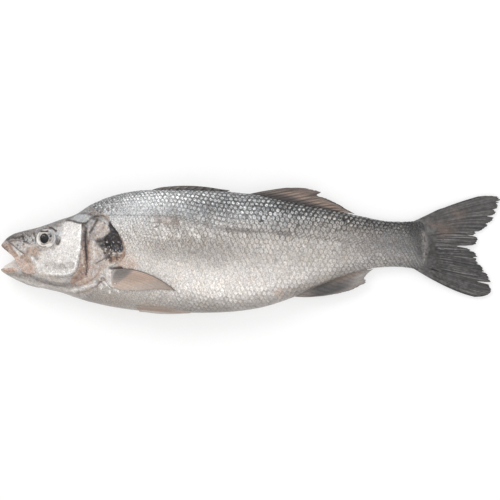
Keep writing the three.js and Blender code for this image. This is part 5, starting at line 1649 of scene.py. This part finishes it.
def painted_material(name, grain, dullness, bump=None, **constants):
    """A material in the mesh's own looks. Noise breaks up its colour and its roughness.

    grain and dullness: the noise's settings, the values from low to high, and the noise's own
    values there. bump: the noise's settings, the depth in metres, and the strength.
    """
    nodes = Nodes(name)
    nodes.set(
        Base_Color=nodes.brighten(nodes.attribute("looks").outputs["Color"], nodes.grain(*grain)),
        Roughness=nodes.grain(*dullness), **constants)
    if bump:
        settings, depth, strength = bump
        nodes.bump(nodes.noise(*settings), depth, strength)
    return nodes.material


def skin_material():
    """Wet skin."""
    return painted_material(
        "wet_skin", ((880, 2, 0.6), (0.76, 1.24), (0.35, 0.65)), ((350, 3), (0.30, 0.52), (0.3, 0.7)),
        ((1100, 4, 0.6), 0.00022, 0.7), Metallic=0.08, Coat_Weight=0.35, Coat_Roughness=0.16)


def gill_material():
    """The near-black skin on the gill cover, which shines less than the rest."""
    return painted_material(
        "gill_dark", ((880, 2, 0.6), (0.72, 1.28), (0.35, 0.65)), ((350, 3), (0.42, 0.6), (0.3, 0.7)),
        ((1100, 4, 0.6), 0.00022, 0.7), Specular_IOR_Level=0.32)


def fin_material(name, scale, rough):
    """Skin of a fin; scale is how fine its grain is, and rough how dull it is."""
    return painted_material(
        name, ((scale, 4, 0.6), (0.84, 1.16), (0.3, 0.7)),
        ((400, 3), (rough - 0.08, rough + 0.1), (0.3, 0.7)),
        ((1300, 3), 0.00015, 0.6), Coat_Weight=0.25, Coat_Roughness=0.25)


def eye_material():
    """The eye, whose lights are painted, so it shines only a little."""
    return painted_material(
        "eye_wet", ((1500, 3, 0.6), (0.9, 1.1), (0.3, 0.7)), ((800, 2), (0.42, 0.55), (0.3, 0.7)),
        Specular_IOR_Level=0.25, Coat_Weight=0.05, Coat_Roughness=0.1)


def mouth_material():
    """The pale wet lining of the mouth, in two tones."""
    nodes = Nodes("mouth_lining")
    blotch = nodes.ramp(nodes.noise(260, 4, 0.6), 0, 1, 0.35, 0.65, smooth=True)
    nodes.set(
        Base_Color=nodes.mix(blotch, (*tone((232, 228, 225)), 1), (*tone((212, 202, 196)), 1)),
        Roughness=nodes.grain((500, 2), (0.22, 0.4), (0.3, 0.7)),
        Coat_Weight=0.5, Coat_Roughness=0.1)
    nodes.bump(nodes.noise(700, 3), 0.0003, 0.6)
    return nodes.material


def scale_material():
    """Each scale has a bright middle, a painted highlight, in a dark net of pigment and painted shade,
    and a pore where it lies on the lateral line.
    """
    nodes = Nodes("scales")
    math, ramp = nodes.math, nodes.ramp

    def stored(name, kind="Fac"):
        return nodes.attribute(name).outputs[kind]

    split = nodes.add("ShaderNodeSeparateXYZ")
    nodes.link(stored("place", "Vector"), split.inputs[0])
    a, b, on_line = split.outputs
    # How far from the bright middle: an oval that leans and has a rippled edge.
    ripple = nodes.grain((420, 3), (-0.10, 0.10), (0.25, 0.75))
    across = math("DIVIDE", math("ADD", b, ripple), math("MULTIPLY", stored("tall"), 0.45))
    leaning = math("ADD", math("ADD", a, math("MULTIPLY", b, 0.25)), ripple)
    behind = math("DIVIDE", math("SUBTRACT", leaning, 0.20), 0.38)
    squares = math("ADD", math("MULTIPLY", across, across), math("MULTIPLY", behind, behind))
    core = ramp(math("DIVIDE", squares, stored("swell")), 1, 0, 0.45, 1.1, smooth=True)
    colour = nodes.mix(core, stored("net", "Color"), stored("core", "Color"))
    pore = math("MULTIPLY", ramp(math("ABSOLUTE", b), 1, 0, 0.10, 0.32, smooth=True), on_line)
    colour = nodes.mix(math("MULTIPLY", pore, 0.5), colour, (*tone((92, 88, 86)), 1))
    speckle = nodes.grain((900, 1, 0.6, (1.3, 0.85, 1.0)), (-0.42, 0.42), (0.36, 0.64))
    nodes.set(
        Base_Color=nodes.brighten(colour, math("ADD", math("MULTIPLY", speckle, stored("sparkle")), 1.0)),
        Roughness=nodes.grain((600, 3), (0.30, 0.50), (0.3, 0.7)),
        Metallic=0.18, Coat_Weight=0.35, Coat_Roughness=0.18)
    nodes.bump(nodes.noise(1600, 3), 0.00012, 0.5)
    return nodes.material


def floor_material():
    """The floor, which glows a little so that it looks white."""
    nodes = Nodes("pale_floor")
    nodes.set(
        Base_Color=(0.46, 0.46, 0.46, 1), Roughness=0.9, Specular_IOR_Level=0.1,
        Emission_Color=(1, 1, 1, 1), Emission_Strength=0.52)
    return nodes.material


# ---- The scene ---------------------------------------------------------------

CAMERA_DISTANCE = 2.5
PICTURE_WIDTH = 0.45     # how much the picture shows from side to side, in metres
MIDDLE_HEIGHT = 0.025    # the height over the table at which it does
SENSOR = 36              # the camera's sensor, which only scales the lens
FLOOR_REACH = 3000       # from the middle to the floor's sides, in millimetres
SURROUNDINGS = 0.84      # how bright the white surroundings are


def darken_patch(body, material):
    """Gives the faces in the dark patch of the gill cover a material of their own."""
    body.materials.append(material)
    centres = np.empty(len(body.polygons) * 3)
    body.polygons.foreach_get("center", centres)
    s, y = centres[0::3] / MM - LIP_X, centres[1::3] / MM
    slots = np.empty(len(body.polygons), np.int32)
    body.polygons.foreach_get("material_index", slots)
    slots[area_mark(s, y, DARK_PATCH, 1.1) > 0.5] = len(body.materials) - 1
    body.polygons.foreach_set("material_index", slots)


def build_fish():
    """All pieces: the body, its scales, the eyes and the fins."""
    body = body_mesh(skin_material(), mouth_material())
    darken_patch(body, gill_material())
    add_attribute(body, "looks", linear(skin_looks(vertices_of(body))))
    piece = add_object("body_skin", body)
    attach(piece, "root")
    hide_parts("body")
    flat_scales, wet = scale_material(), eye_material()
    for side in (LEFT, RIGHT):
        scales(side, flat_scales)
    for side in (LEFT, RIGHT):
        eye(side, wet)
    dark = fin_material("dark_fin_skin", 700, 0.42)
    pale = fin_material("pale_fin_skin", 800, 0.4)
    caudal_fin(dark)
    dorsal_second(dark)
    dorsal_first(dark)
    anal_fin(dark)
    for side in (LEFT, RIGHT):
        pectoral_fin(side, pale)
        pelvic_fin(side, pale)


def area_light(name, place, size, power, target=(0, 0, 0.02)):
    """A round soft lamp that shines from place, in metres, at target."""
    lamp = bpy.data.lights.new(name, "AREA")
    lamp.shape, lamp.size, lamp.energy = "DISK", size, power
    light = add_object(name, lamp)
    light.location = place
    light.rotation_euler = (Vector(target) - Vector(place)).to_track_quat("-Z", "Y").to_euler()
    light.visible_camera = False


def build_studio():
    """The floor, the white surroundings, two lamps and the camera."""
    corners = [(-1, -1, 0), (1, -1, 0), (1, 1, 0), (-1, 1, 0)]
    mesh = new_mesh("floor", FLOOR_REACH * np.array(corners, float), [np.array([[0, 1, 2, 3]])])
    mesh.materials.append(floor_material())
    floor = add_object("floor", mesh)

    world = bpy.data.worlds.new("studio")
    world.use_nodes = True
    background = world.node_tree.nodes["Background"]
    background.inputs["Color"].default_value = (1, 1, 1, 1)
    background.inputs["Strength"].default_value = SURROUNDINGS
    bpy.context.scene.world = world
    area_light("key", (-0.8, 1.0, 1.6), size=0.9, power=9)
    area_light("overhead", (0.3, -0.3, 2.2), size=1.6, power=9)

    scene = bpy.context.scene
    scene.view_settings.view_transform = "Standard"
    camera = add_object("camera", bpy.data.cameras.new("camera"))
    camera.data.sensor_width = SENSOR
    camera.data.lens = SENSOR * CAMERA_DISTANCE / PICTURE_WIDTH
    camera.location = (0, 0, CAMERA_DISTANCE + MIDDLE_HEIGHT)
    scene.camera = camera


build_fish()
build_studio()
